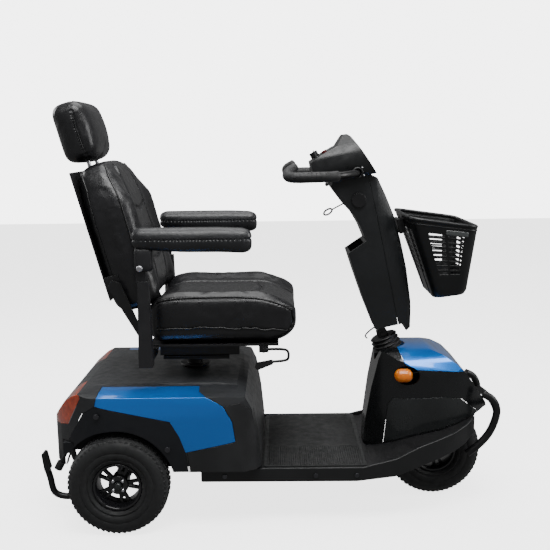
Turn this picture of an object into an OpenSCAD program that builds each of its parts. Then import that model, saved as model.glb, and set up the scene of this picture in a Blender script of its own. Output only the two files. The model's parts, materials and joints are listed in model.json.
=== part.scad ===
// Three-wheel mobility scooter: adjustable captain's seat, tilting delta tiller, front basket.
// Millimetres. +X is forward, +Y is the rider's left, +Z is up.
// The origin is on the floor, at the middle of the overall box.

/* [Wheels] */
// Outside diameter of all three tyres
tyre_d = 300; // [250:1:360]
// Width of all three tyres
tyre_w = 95; // [75:1:110]
// Diameter of the rim where the tyre seats
rim_d = 146; // [120:1:170]
// Distance between the rear axle and the front axle
wheelbase = 967; // [880:1:1170]
// Distance between the outer faces of the rear tyres
rear_track_w = 620; // [560:1:744]
// Diameter of the rear half shafts
half_shaft_d = 20; // [16:1:24]
// Diameter of the front axle pin
front_axle_d = 16; // [12:1:20]
// Gap between a tyre and its wheel arch
arch_gap = 18; // [14:1:30]

/* [Body] */
// Height of the footplate's top face above the floor
deck_z = 175; // [165:1:210]
// Width of the footplate
deck_w = 466; // [400:1:560]
// Thickness of the rubber mat on the footplate
mat_t = 6; // [4:1:8]
// Width of the rear body at its side panels
body_w = 588; // [540:1:640]
// Height of the rear body's top above the footplate
body_h = 257; // [245:1:300]
// Width of the front cover over the wheel
nose_w = 284; // [270:1:340]
// Width of the batteries, each
battery_w = 132; // [100:1:140]
// Wall of the moulded body panels
shell_t = 4; // [3:0.5:5]
// Gap between neighbouring body panels
panel_gap = 1; // [0.5:0.5:2]

/* [Steering] */
// Rake of the steering axis from vertical, in degrees
rake = 22; // [15:1:26]
// Diameter of the steering stem
stem_d = 30; // [24:1:34]
// Diameter of the tiller hinge pin
tilt_pin_d = 12; // [10:1:15]
// Lean of the tiller from vertical at rest, in degrees
tiller_lean = 12; // [8:1:16]
// Length of the tiller from its hinge to the console
tiller_l = 500; // [440:1:560]
// Width of the tiller housing
tiller_w = 150; // [120:1:170]
// Width of the console on top of the tiller
console_w = 210; // [190:1:240]
// Width across the wrap-around handlebar
handlebar_w = 470; // [420:1:520]
// Diameter of the handlebar grips
grip_d = 31; // [26:1:36]

/* [Basket] */
// Width of the basket at its rim
basket_w = 340; // [280:1:400]
// Depth of the basket at its rim, front to back
basket_l = 250; // [210:1:280]
// Height of the basket
basket_h = 250; // [200:1:270]
// Wall of the basket
basket_t = 4; // [3:0.5:6]

/* [Seat] */
// Width of the seat cushion
seat_w = 460; // [400:1:552]
// Depth of the seat cushion, front to back
seat_l = 446; // [400:1:480]
// Thickness of the seat cushion
cushion_t = 145; // [110:1:160]
// Width of the backrest cushion
back_w = 430; // [380:1:470]
// Height of the backrest cushion
back_h = 455; // [400:1:500]
// Lean of the backrest at rest, in degrees
back_lean = 15; // [10:1:20]
// Width of the headrest
headrest_w = 260; // [220:1:300]
// Diameter of the seat post
post_d = 50; // [40:1:60]
// Width of an arm pad
arm_pad_w = 60; // [50:1:75]
// Length of an arm pad
arm_pad_l = 340; // [300:1:380]
// Side of the square bar that carries an arm post
arm_bar = 25; // [20:1:30]
// Gap between the seat cushion and an arm pad
arm_gap = 12; // [8:1:30]

/* [Fits] */
// Radial clearance of a shaft in its bearing
run_fit = 0.05; // [0.02:0.01:0.1]
// Gap between parts that slide or sweep past each other
slide_gap = 0.5; // [0.4:0.1:1]

/* [Hidden] */
$fn = 64;

// Wheels and axles
tyre_r = tyre_d / 2;
rim_r = rim_d / 2;
rear_x = -459;
front_x = rear_x + wheelbase;
axle_z = tyre_r;
wheel_y = (rear_track_w - tyre_w) / 2;
arch_r = tyre_r + arch_gap;
hub_r = 24;

// Body stations and heights
deck_r = deck_w / 2;
body_r = body_w / 2;
body_base = deck_z + 15;
body_top = deck_z + body_h;
body_front = -40;
body_rear = -674;
nose_r = nose_w / 2;
knee_x = front_x - tyre_r - 77;
nose_tip = front_x + tyre_r + 16;
well_y = wheel_y - tyre_w / 2 - 20;
spine_r = 40;
spine_top = deck_z - 7;
spine_h = 40;

// Steering axis: a point on it, and lengths along it from that point
head_x = front_x - 153;
head_z = deck_z + 325;
axle_dx = front_x - head_x;
axle_dz = axle_z - head_z;
axle_off = axle_dx * cos(rake) + axle_dz * sin(rake);
axle_drop = axle_dz * cos(rake) - axle_dx * sin(rake);
crown_s = axle_drop + tyre_r + 12;
crown_t = 14;
head_tube_r = 28;
head_bottom = crown_s + crown_t + 14;
head_top = -26;
bearing_h = 14;
tilt_s = 35;
tilt_x = head_x - tilt_s * sin(rake);
tilt_z = head_z + tilt_s * cos(rake);
fork_y = tyre_w / 2 + 9;
leg_t = 10;

// Seat
post_x = -255;
post_r = post_d / 2;
post_top = body_top + 48;
plate_z = post_top + slide_gap;
rail_z = plate_z + 14;
pan_z = rail_z + 50;
pan_t = 6;
cushion_z = pan_z + pan_t;
cushion_top = cushion_z + cushion_t;
seat_r = seat_w / 2;
seat_rear = -372;
seat_front = seat_rear + seat_l;
back_x = seat_rear - 83;
back_z = cushion_z + 178;
back_r = back_w / 2;
arm_y = seat_r + arm_gap + arm_pad_w / 2;
arm_x = -364;
arm_pivot_x = -370;
arm_pivot_z = cushion_z + 240;
receiver = arm_bar + 2 * slide_gap + 6;
arm_bar_z = pan_z - receiver / 2;
rail_y = 120;

// Colours
black = [0.06, 0.06, 0.065];
charcoal = [0.17, 0.17, 0.175];
grey = [0.27, 0.27, 0.28];
blue = [0.02, 0.32, 0.72];
steel = [0.62, 0.63, 0.65];
vinyl = [0.08, 0.08, 0.09];
amber = [0.9, 0.42, 0.05];

// ---- Shared shapes ----

// An outline in X and Z, extruded from y0 to y1
module side_plate(outline, y0, y1) {
  translate([0, y1, 0])
    rotate([90, 0, 0])
      linear_extrude(y1 - y0) polygon(outline);
}

// The same outline on both sides of the centre line
module both_sides() {
  children();
  mirror([0, 1, 0]) children();
}

// A box from its low corner to its high corner
module span(low, high) {
  translate(low) cube(high - low);
}

// A round bar along Y, from y0 to y1
module cross_bar(x, z, r, y0, y1) {
  translate([x, y1, z]) rotate([90, 0, 0]) cylinder(r = r, h = y1 - y0);
}

// A straight round bar between two points
module rod(a, b, d) {
  v = b - a;
  translate(a)
    rotate([0, acos(v[2] / norm(v)), atan2(v[1], v[0])])
      cylinder(d = d, h = norm(v));
}

// A smooth curve through points: steps per span
function bend(p, steps = 5) = [
  for (i = [0 : len(p) - 2]) for (k = [0 : steps - 1])
    let (t = k / steps, a = p[max(i - 1, 0)], b = p[i], c = p[i + 1], d = p[min(i + 2, len(p) - 1)])
      0.5 * (2 * b + (c - a) * t + (2 * a - 5 * b + 4 * c - d) * t * t
        + (3 * b - a - 3 * c + d) * t * t * t),
  p[len(p) - 1]];
function unit(v) = v / norm(v);
function heading(p, i) = unit(p[min(i + 1, len(p) - 1)] - p[max(i - 1, 0)]);
function carry(n, t) = unit(n - (n * t) * t);
function normals(p, i = 0, n = [0.13, 0.31, 0.94]) = i >= len(p) ? []
  : let (m = carry(n, heading(p, i))) concat([m], normals(p, i + 1, m));

// A round tube swept along a list of points
module tube(p, d, sides = 12) {
  n = normals(p);
  rings = [for (i = [0 : len(p) - 1]) for (k = [0 : sides - 1])
    let (a = 360 * k / sides, t = heading(p, i))
      p[i] + d / 2 * (cos(a) * n[i] + sin(a) * cross(t, n[i]))];
  walls = [for (i = [0 : len(p) - 2]) for (k = [0 : sides - 1])
    let (j = (k + 1) % sides) [i * sides + k, (i + 1) * sides + k, (i + 1) * sides + j, i * sides + j]];
  first = [for (k = [0 : sides - 1]) k];
  last = [for (k = [sides - 1 : -1 : 0]) (len(p) - 1) * sides + k];
  polyhedron(rings, concat(walls, [first, last]), convexity = 8);
}

// Frames that lean: the steering axis, the tiller and the backrest
module on_steer_axis() {
  translate([head_x, 0, head_z]) rotate([0, -rake, 0]) children();
}
module on_tiller() {
  translate([tilt_x, 0, tilt_z]) rotate([0, -tiller_lean, 0]) children();
}
module on_backrest() {
  translate([back_x, 0, back_z]) rotate([0, -back_lean, 0]) children();
}

// ---- Rear body outline ----

function rear_side(base) = [
  [body_rear, base], [body_rear, deck_z + 122], [-656, deck_z + 162], [-618, deck_z + 214],
  [-588, body_top - 19], [-556, body_top - 5], [-510, body_top], [-170, body_top],
  [-112, body_top - 5], [-84, body_top - 18], [-66, body_top - 54], [-50, deck_z + 110],
  [body_front, base]];
rear_half_plan = [
  [body_rear, 120], [-660, 172], [-634, 216], [-596, 252], [-548, body_r - 14],
  [-490, body_r], [-130, body_r], [-84, body_r - 8], [-54, body_r - 26], [body_front, body_r - 54]];
function rear_half_section(base) = [
  [body_r - 6, base], [body_r, deck_z + 90], [body_r, deck_z + 205],
  [body_r - 10, body_top - 18], [body_r - 34, body_top - 8], [body_r - 92, body_top - 6],
  [body_r - 102, body_top + 1]];

// A shell's outer solid: side, plan and cross-section outlines intersected, shrunk by inset
module blended(side, half_plan, half_section, inset, x0, x1, half_w, z0, z1) {
  intersection() {
    translate([0, half_w, 0])
      rotate([90, 0, 0]) linear_extrude(2 * half_w) offset(delta = -inset) polygon(side);
    translate([0, 0, z0])
      linear_extrude(z1 - z0) offset(delta = -inset) polygon(mirrored(half_plan, 1));
    translate([x0, 0, 0])
      rotate([90, 0, 90]) linear_extrude(x1 - x0)
        offset(delta = -inset) polygon(mirrored(half_section, 0));
  }
}
// A half outline and its mirror image; axis is the coordinate that changes sign
function mirrored(half, axis) = concat(half, [for (i = [len(half) - 1 : -1 : 0])
  axis == 1 ? [half[i][0], -half[i][1]] : [-half[i][0], half[i][1]]]);

module rear_block(inset, base) {
  blended(rear_side(base), rear_half_plan, rear_half_section(base), inset,
    body_rear - 5, body_front + 5, body_r, base - 5, body_top + 5);
}
module rear_shell() {
  difference() {
    rear_block(0, body_base);
    rear_block(shell_t, body_base - 40);
    both_sides() cross_bar(rear_x, axle_z, arch_r, well_y, body_w);
  }
}

// Opening that the drive release rod comes out of, on the right
module release_hole() {
  span([-650, -256, deck_z + 10], [-584, -218, deck_z + 96]);
}

// Side regions of the rear body: wheel arch liner, blue panel, lamp and lower skirt
liner_outline = [
  [rear_x - arch_r + 26, body_base + 1], [rear_x - arch_r + 22, axle_z + 130],
  [rear_x - arch_r + 72, axle_z + arch_r + 48], [rear_x - arch_r + 110, axle_z + arch_r + 72],
  [rear_x + arch_r - 10, axle_z + arch_r + 26], [rear_x + arch_r + 16, axle_z + arch_r - 18],
  [rear_x + arch_r + 33, axle_z + arch_r - 66], [rear_x + arch_r + 40, body_base + 1]];
blue_outline = [
  [rear_x - arch_r + 110, axle_z + arch_r + 73], [-505, body_top + 6], [-248, body_top + 4],
  [-185, deck_z + 234], [-147, deck_z + 213], [-122, deck_z + 168], [-114, deck_z + 108],
  [rear_x + arch_r + 34, deck_z + 77], [rear_x + arch_r + 33, axle_z + arch_r - 66],
  [rear_x + arch_r + 16, axle_z + arch_r - 18], [rear_x + arch_r - 10, axle_z + arch_r + 27]];
skirt_outline = [
  [rear_x + arch_r + 44, body_base - 1], [rear_x + arch_r + 38, deck_z + 76], [-113, deck_z + 107],
  [-121, deck_z + 168], [-146, deck_z + 214], [-100, deck_z + 222], [-66, deck_z + 196],
  [-50, deck_z + 110], [-30, body_base - 1]];
lamp_outline = [
  [body_rear - 5, deck_z + 128], [-606, deck_z + 150], [-562, body_top - 22],
  [-566, body_top - 12], [-616, body_top - 14], [body_rear - 5, deck_z + 205]];

module side_zone(outline, grow = 0) {
  both_sides()
    translate([0, body_r + 20, 0])
      rotate([90, 0, 0]) linear_extrude(body_r - 190) offset(delta = grow) polygon(outline);
}
module lamp_zone(grow = 0) {
  both_sides()
    translate([0, body_r + 20, 0])
      rotate([90, 0, 0]) linear_extrude(body_r - 110) offset(delta = grow) polygon(lamp_outline);
}

// ---- Front cover outline ----

// Top of the footplate where it rises round the front cover, from the floor to the nose
toe_line = [
  [knee_x - 20, deck_z], [knee_x + 9, deck_z], [front_x - 150, deck_z + 28],
  [front_x - 79, deck_z + 58], [front_x + 30, deck_z + 90], [front_x + 108, deck_z + 114],
  [nose_tip - 16, deck_z + 122]];
nose_side = [
  [knee_x, deck_z - 60], [knee_x, deck_z + 15], [knee_x + 6, deck_z + 91],
  [knee_x + 22, deck_z + 196], [head_x - 32, deck_z + 289], [head_x - 24, deck_z + 312],
  [head_x - 8, head_z - 6], [head_x + 60, head_z - 2], [head_x + 119, head_z - 3],
  [head_x + 160, head_z - 16], [head_x + 200, head_z - 40], [head_x + 232, head_z - 72],
  [head_x + 272, head_z - 129], [nose_tip - 20, deck_z + 158], [nose_tip - 5, deck_z + 135],
  [nose_tip, deck_z + 112], [nose_tip - 12, deck_z - 60]];
nose_half_plan = [
  [knee_x, 30], [knee_x + 6, 46], [knee_x + 22, 62], [knee_x + 54, 86], [knee_x + 95, nose_r - 30],
  [front_x - 70, nose_r - 10], [front_x, nose_r], [front_x + 50, nose_r - 8],
  [front_x + 100, nose_r - 34], [nose_tip - 30, nose_r - 72], [nose_tip, 30]];
nose_half_section = [
  [nose_r, deck_z - 60], [nose_r, deck_z + 225], [nose_r - 8, head_z - 62], [nose_r - 24, head_z - 34],
  [nose_r - 50, head_z - 12], [nose_r - 82, head_z]];

module nose_block(inset, base) {
  intersection() {
    blended(nose_side, nose_half_plan, nose_half_section, inset,
      knee_x - 5, nose_tip + 5, nose_w, deck_z - 60, head_z + 5);
    side_plate(concat([for (p = toe_line) p + [0, base]],
      [[nose_tip + 10, deck_z + 122 + base], [nose_tip + 10, head_z + 50], [knee_x - 20, head_z + 50]]),
      -nose_w, nose_w);
  }
}
module nose_shell() {
  difference() {
    nose_block(0, 1);
    nose_block(shell_t, -40);
    on_steer_axis() translate([0, 0, -60]) cylinder(r = 54, h = 160);
    indicator_seat(30);
  }
}
hood_outline = [
  [head_x + 22, head_z + 20], [head_x + 30, head_z - 8], [head_x + 46, head_z - 42],
  [head_x + 80, head_z - 56], [head_x + 205, head_z - 62], [head_x + 300, head_z - 70],
  [head_x + 300, head_z + 20]];
inset_outline = [
  [knee_x + 58, deck_z + 24], [knee_x + 70, deck_z + 150], [knee_x + 84, deck_z + 172],
  [front_x + 10, deck_z + 186], [front_x + 62, deck_z + 176], [front_x + 118, deck_z + 128],
  [front_x + 96, deck_z + 116], [front_x + 30, deck_z + 96], [front_x - 79, deck_z + 64],
  [front_x - 150, deck_z + 34]];
module hood_zone(grow = 0) {
  translate([0, nose_w, 0])
    rotate([90, 0, 0]) linear_extrude(2 * nose_w) offset(delta = grow) polygon(hood_outline);
}
module inset_zone(grow = 0) {
  both_sides()
    translate([0, nose_w, 0])
      rotate([90, 0, 0]) linear_extrude(nose_w - 45) offset(delta = grow) polygon(inset_outline);
}

// Round side indicator: its axis leans out from the cover's flank
lamp_x = head_x + 34;
lamp_z = head_z - 76;
module indicator_seat(r) {
  both_sides()
    translate([lamp_x, nose_r - 62, lamp_z]) rotate([-90, 0, -22]) cylinder(r = r, h = 80);
}

// ---- Chassis ----

module main_frame() {
  color(black) difference() {
    union() {
      // spine and its outriggers
      span([rear_x + 56, -spine_r, spine_top - spine_h], [knee_x + 20, spine_r, spine_top]);
      for (x = [-90, (knee_x - 90) / 2 - 10, knee_x - 30])
        span([x, -deck_r + 22, spine_top - 30], [x + 30, deck_r - 22, spine_top - 4]);
      // battery tray on two cross members
      span([-380, -well_y + 4, spine_top], [-112, well_y - 4, spine_top + 5]);
      for (x = [-372, -150])
        span([x, -well_y + 6, spine_top - 26], [x + 26, well_y - 6, spine_top]);
      // seat post socket
      translate([post_x, 0, spine_top]) cylinder(r = post_r + 8, h = body_top - 22 - spine_top);
      // neck and head tube
      side_plate([[knee_x + 14, spine_top - spine_h], [knee_x + 46, spine_top - spine_h],
        [knee_x + 50, deck_z + 70], [head_x - 8, deck_z + 130], [head_x + 26, head_z - 140],
        [head_x + 10, head_z - 60], [head_x - 14, head_z - 76], [head_x - 36, deck_z + 170],
        [knee_x + 16, deck_z + 60]], -18, 18);
      on_steer_axis() translate([0, 0, head_bottom]) cylinder(r = head_tube_r, h = head_top - head_bottom);
      // towing arms that carry the anti-tip wheels and the rear bracket
      both_sides() {
        span([rear_x - 142, 96, axle_z + 44], [rear_x + 82, 122, axle_z + 70]);
        span([rear_x - 142, 96, axle_z - 50], [rear_x - 116, 122, axle_z + 44]);
      }
      span([rear_x + 58, -122, spine_top - 30], [rear_x + 82, 122, axle_z + 70]);
    }
    translate([post_x, 0, spine_top + 60]) cylinder(r = post_r + run_fit, h = body_top);
    on_steer_axis() translate([0, 0, head_bottom - 60])
      cylinder(r = stem_d / 2 + 2, h = head_top - head_bottom + 120);
    on_steer_axis() {
      translate([0, 0, head_bottom - 1]) cylinder(r = head_tube_r - 5, h = bearing_h + 1);
      translate([0, 0, head_top - bearing_h]) cylinder(r = head_tube_r - 5, h = bearing_h + 1);
    }
    // clearance round the transaxle's nose
    span([rear_x + 40, -70, axle_z - 60], [rear_x + 57, 70, axle_z + 42]);
  }
}

module transaxle() {
  color([0.35, 0.35, 0.36]) difference() {
    union() {
      difference() {
        cross_bar(rear_x, axle_z, 56, -70, 70);
        span([rear_x - 60, -71, axle_z + 40], [rear_x + 60, 71, axle_z + 60]);
      }
      span([rear_x - 50, -60, axle_z - 40], [rear_x + 56, 60, axle_z + 40]);
      span([rear_x - 58, -46, axle_z - 6], [rear_x - 40, 46, axle_z + 36]);
      cross_bar(rear_x, axle_z, 23, -well_y + 6, well_y - 6);
      both_sides() cross_bar(rear_x, axle_z, 36, 70, 90);
    }
    both_sides() cross_bar(rear_x, axle_z, half_shaft_d / 2 + run_fit, 40, well_y + 1);
  }
}

module drive_motor() {
  color([0.12, 0.12, 0.13]) {
    cross_bar(rear_x - 104, axle_z + 22, 44, -78, 82);
    cross_bar(rear_x - 104, axle_z + 22, 34, -92, -78);
    span([rear_x - 68, -46, axle_z - 6], [rear_x - 58, 46, axle_z + 36]);
  }
}

module batteries() {
  color([0.13, 0.14, 0.16]) both_sides() {
    span([-370, post_r + 15, spine_top + 6], [-141, post_r + 15 + battery_w, spine_top + 208]);
    for (x = [-350, -181])
      translate([x + 10, post_r + 15 + battery_w / 2, spine_top + 208]) cylinder(d = 16, h = 10);
  }
}

module motor_controller() {
  color([0.2, 0.2, 0.22]) {
    span([rear_x - 96, -70, axle_z + 120], [rear_x + 70, 70, axle_z + 176]);
    for (y = [-60 : 20 : 60])
      span([rear_x - 90, y - 3, axle_z + 176], [rear_x + 64, y + 3, axle_z + 190]);
    both_sides() span([rear_x - 20, 78, axle_z + 70], [rear_x + 20, 88, axle_z + 132]);
    both_sides() span([rear_x - 20, 70, axle_z + 122], [rear_x + 20, 78, axle_z + 132]);
  }
}

module rear_top_cover() {
  color(charcoal) difference() {
    rear_shell();
    side_zone(liner_outline, panel_gap);
    side_zone(blue_outline, panel_gap);
    side_zone(skirt_outline, panel_gap);
    lamp_zone(panel_gap);
    translate([post_x, 0, body_top - 40]) cylinder(r = post_r + 12, h = 80);
    // opening for the anti-tip arms and the drive release rod
    both_sides() span([body_rear - 5, well_y - 84, body_base - 30], [rear_x - 120, well_y - 44, axle_z + 90]);
    release_hole();
  }
}

module rear_side_panels() {
  color(blue) intersection() {
    rear_shell();
    side_zone(blue_outline);
  }
}

module wheel_arch_liners() {
  color(black) both_sides() {
    difference() {
      intersection() {
        rear_block(0, body_base);
        side_zone(liner_outline);
      }
      rear_block(shell_t, body_base - 40);
      cross_bar(rear_x, axle_z, arch_r, well_y, body_w);
      translate([0, -body_w, 0]) cube([4 * body_w, 2 * body_w, 3 * body_w], center = true);
      mirror([0, 1, 0]) release_hole();
    }
    difference() {
      intersection() {
        rear_block(shell_t + 0.2, body_base - 40);
        cross_bar(rear_x, axle_z, arch_r + 3, well_y - 3, body_r);
      }
      cross_bar(rear_x, axle_z, arch_r, well_y, body_w);
      span([rear_x - 2 * arch_r, 0, 0], [rear_x + 2 * arch_r, body_w, body_base]);
      span([rear_x - 2 * arch_r, well_y - 5, 0], [rear_x + 2 * arch_r, well_y + 5, axle_z + 76]);
    }
  }
  // boss that guides the drive release rod, on the right
  color(black) difference() {
    span([-622, release_y - 13, deck_z + 62], [-588, release_y + 13, deck_z + 94]);
    cross_bar(rear_x, axle_z, arch_r, -body_w, body_w);
    rod(release_top + [16, 0, 29], release_neck, release_d + 2 * run_fit);
  }
}

module rear_lower_skirts() {
  color(grey) intersection() {
    rear_shell();
    side_zone(skirt_outline);
  }
}

module rear_lamps() {
  color([0.75, 0.1, 0.05]) difference() {
    intersection() {
      rear_block(0, body_base);
      lamp_zone();
    }
    rear_block(shell_t + 8, body_base - 40);
  }
}

// Swept arm with an upright pad at its end, one each side behind the axle
module anti_tip_arms() {
  y = well_y - 64;
  arm = bend([[rear_x - 129, y, axle_z - 40], [rear_x - 150, y, 62], [-650, y, 48],
    [-690, y, 62], [-702, y, 110], [-712, y, 150]], 4);
  color(black) both_sides() {
    difference() {
      tube(arm, 20);
      span([-700, y - 30, 132], [-690, y + 30, 200]);
      span([rear_x - 160, y - 30, axle_z - 52], [rear_x - 100, y + 30, axle_z]);
    }
    translate([-706, y, 134]) rotate([0, -10, 0]) side_pad();
  }
}
module side_pad() {
  translate([0, 16, 0]) rotate([90, 0, 0]) linear_extrude(32) hull() {
    translate([0, 8]) circle(d = 16);
    translate([0, 56]) circle(d = 12);
  }
}

module floor_pan() {
  x0 = -104;
  flat = [[x0, 0], [x0, deck_r], [knee_x - 20, deck_r], [front_x - 150, deck_r - 2],
    [front_x - 79, deck_r - 8], [front_x - 18, deck_r - 22], [front_x + 30, deck_r - 40],
    [front_x + 72, deck_r - 74], [front_x + 104, deck_r - 118], [nose_tip - 44, deck_r - 160],
    [nose_tip - 34, 0]];
  top = concat([[x0, deck_z]], toe_line);
  under = [for (i = [len(top) - 1 : -1 : 0]) top[i] - [0, shell_t]];
  color(black) difference() {
    intersection() {
      both_sides() linear_extrude(head_z) polygon(flat);
      union() {
        side_plate(concat(top, under), -deck_r, deck_r);
        side_plate(concat(top, [for (p = under) p - [0, 22]]), -deck_r, -deck_r + 4);
        side_plate(concat(top, [for (p = under) p - [0, 22]]), deck_r - 4, deck_r);
      }
    }
    // the nose stands in this opening, and the front wheel turns under it
    intersection() {
      translate([0, 0, deck_z - 60])
        linear_extrude(300) offset(delta = -6) polygon(mirrored(nose_half_plan, 1));
      translate([knee_x + 56, -nose_w, 0]) cube([nose_tip, 2 * nose_w, head_z]);
    }
    span([knee_x + 10, -22, deck_z - 60], [knee_x + 70, 22, head_z]);
  }
}

// Heads of the screws that hold the mat, set in flush with its top face
module mat_screws(grow) {
  for (x = [-10, (knee_x - 10) / 2, knee_x - 36]) both_sides()
    translate([x, deck_r - 26, deck_z + mat_t - 2.2 - grow]) cylinder(r = 6 + grow, h = 2 + 2 * grow);
}

module floor_mat() {
  n = 44;
  x0 = body_front + 6;
  x1 = knee_x - 8;
  color(black) difference() {
    span([x0, -deck_r + 6, deck_z], [x1, deck_r - 6, deck_z + mat_t]);
    for (i = [0 : n - 1])
      span([x0 + 8 + i * (x1 - x0 - 14) / n, -deck_r + 14, deck_z + mat_t - 1.5],
        [x0 + 10.5 + i * (x1 - x0 - 14) / n, -70, deck_z + mat_t + 1]);
    mat_screws(0.2);
  }
}

// Guard strip along each edge of the footplate, sweeping up round the nose
module side_bumpers() {
  path = [[-222, deck_r + 1], [knee_x - 20, deck_r + 1], [front_x - 150, deck_r - 1],
    [front_x - 79, deck_r - 7], [front_x - 18, deck_r - 21], [front_x + 30, deck_r - 39],
    [front_x + 72, deck_r - 73], [front_x + 104, deck_r - 117]];
  outer = [for (p = path) [p[0] + 3, p[1] + 9]];
  band = [[-230, deck_z + 6], [knee_x - 20, deck_z + 6], [front_x - 150, deck_z + 30],
    [front_x - 79, deck_z + 64], [front_x + 30, deck_z + 96], [front_x + 108, deck_z + 120],
    [nose_tip, deck_z + 130], [nose_tip, deck_z + 76], [front_x + 86, deck_z + 60],
    [front_x + 57, deck_z + 46], [front_x - 78, deck_z + 2], [front_x - 151, deck_z - 25],
    [front_x - 265, deck_z - 38], [-230, deck_z - 36]];
  color(black) both_sides() intersection() {
    linear_extrude(head_z)
      polygon(concat(path, [for (i = [len(path) - 1 : -1 : 0]) outer[i]]));
    side_plate(band, 0, body_w);
  }
}

module front_cover() {
  color(black) difference() {
    nose_shell();
    hood_zone(panel_gap);
    inset_zone(panel_gap);
  }
}

module front_side_panels() {
  color(grey) intersection() {
    nose_shell();
    inset_zone();
  }
}

module front_hood() {
  color(blue) difference() {
    intersection() {
      nose_shell();
      hood_zone();
    }
    inset_zone(panel_gap);
  }
}

module indicator_lenses() {
  color(amber) both_sides()
    translate([lamp_x, nose_r - 62, lamp_z]) rotate([-90, 0, -22]) {
      cylinder(r = 24, h = 44);
      translate([0, 0, 38]) cylinder(r = 29, h = 14);
      translate([0, 0, 52]) intersection() {
        translate([0, 0, -44]) sphere(r = 52.7);
        cylinder(r = 29, h = 20);
      }
    }
}

module front_bumper() {
  y = 124;
  loop = bend([[front_x + 86, y, deck_z - 2], [front_x + 128, y, deck_z + 34],
    [front_x + 158, y, deck_z + 76], [front_x + 174, y, deck_z + 132], [front_x + 160, y, deck_z + 170],
    [front_x + 132, y - 8, deck_z + 188]], 4);
  bar = bend([[front_x + 174, -y, deck_z + 132], [front_x + 184, -60, deck_z + 132],
    [front_x + 188, 0, deck_z + 132], [front_x + 184, 60, deck_z + 132],
    [front_x + 174, y, deck_z + 132]], 3);
  color(black) union() {
    both_sides() tube(loop, 24);
    tube(bar, 22);
  }
}

module body_screws() {
  color(steel) {
    for (p = [[-511, axle_z + 213], [-310, axle_z + 112]]) both_sides()
      cross_bar(p[0], p[1], 8, body_r, body_r + 3);
    mat_screws(0);
    both_sides() for (x = [-150, 120, knee_x - 40])
      cross_bar(x, deck_z - 18, 7, deck_r + 10, deck_r + 13);
  }
}

module head_bearings() {
  color(steel) on_steer_axis() {
    for (s = [head_bottom, head_top - bearing_h]) translate([0, 0, s]) difference() {
      cylinder(r = head_tube_r - 5, h = bearing_h);
      translate([0, 0, -1]) cylinder(r = stem_d / 2 + run_fit, h = bearing_h + 2);
    }
  }
}

release_y = -237;
release_top = [-602, release_y, deck_z + 88];
release_neck = [-634, release_y, deck_z + 30];
release_end = [-645, release_y, deck_z + 9];
release_d = 9;
module drive_release_lever() {
  color(steel) rod(release_top, release_neck, release_d);
  color(black) rod(release_neck, release_end, 24);
}

// ---- Wheels ----

// Half profile of a tyre: rounded tread on a straight sidewall
module tyre_at(x, y) {
  w = tyre_w / 2;
  translate([x, y, axle_z]) rotate([90, 0, 0]) rotate_extrude() polygon([
    [rim_r, -w + 14], [rim_r + 12, -w + 4], [rim_r + 34, -w], [tyre_r - 22, -w + 2],
    [tyre_r - 8, -w + 12], [tyre_r, -w + 30], [tyre_r, w - 30], [tyre_r - 8, w - 12],
    [tyre_r - 22, w - 2], [rim_r + 34, w], [rim_r + 12, w - 4], [rim_r, w - 14]]);
}

// Rim with a dished disc; out is the side that faces away from the scooter
module rim_at(x, y, out, bore_r) {
  w = tyre_w / 2;
  translate([x, y, axle_z]) rotate([-90 * out, 0, 0]) {
    difference() {
      rotate_extrude() polygon([
        [bore_r, -w], [hub_r, -w], [hub_r, -4], [rim_r - 8, -4], [rim_r - 8, -w + 14],
        [rim_r, -w + 14], [rim_r, w - 14], [rim_r - 8, w - 14], [rim_r - 10, 8], [hub_r + 14, 8],
        [hub_r + 8, w - 24], [hub_r, w - 22], [bore_r, w - 22]]);
      for (a = [0 : 72 : 288]) rotate(a) translate([rim_r - 22, 0, -w]) cylinder(r = 9, h = 2 * w);
    }
  }
}

module rear_rim(side) {
  y = side * wheel_y;
  w = tyre_w / 2;
  color(black) rim_at(rear_x, y, side, half_shaft_d / 2);
  color(steel) translate([rear_x, y, axle_z]) rotate([-90 * side, 0, 0]) {
    translate([0, 0, 50 - wheel_y]) cylinder(d = half_shaft_d, h = wheel_y - 50 + w - 22);
    translate([0, 0, w - 22]) cylinder(r = 13, h = 10);
    for (a = [45 : 90 : 315]) rotate(a) translate([hub_r + 6, 0, 8]) cylinder(r = 6, h = w - 26);
  }
}
module rear_rim_left() rear_rim(1);
module rear_rim_right() rear_rim(-1);
module rear_tyre_left() color(charcoal) tyre_at(rear_x, wheel_y);
module rear_tyre_right() color(charcoal) tyre_at(rear_x, -wheel_y);
module front_tyre() color(charcoal) tyre_at(front_x, 0);

module front_rim() {
  w = tyre_w / 2;
  color(black) translate([front_x, 0, axle_z]) rotate([90, 0, 0]) difference() {
    rotate_extrude() polygon([
      [front_axle_d / 2 + run_fit, -w + 2], [hub_r, -w + 2], [hub_r, -5], [rim_r - 8, -5],
      [rim_r - 8, -w + 14], [rim_r, -w + 14], [rim_r, w - 14], [rim_r - 8, w - 14],
      [rim_r - 8, 5], [hub_r, 5], [hub_r, w - 2], [front_axle_d / 2 + run_fit, w - 2]]);
    for (a = [0 : 72 : 288]) rotate(a) translate([rim_r - 22, 0, -w]) cylinder(r = 10, h = 2 * w);
  }
}

// ---- Steering ----

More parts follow.
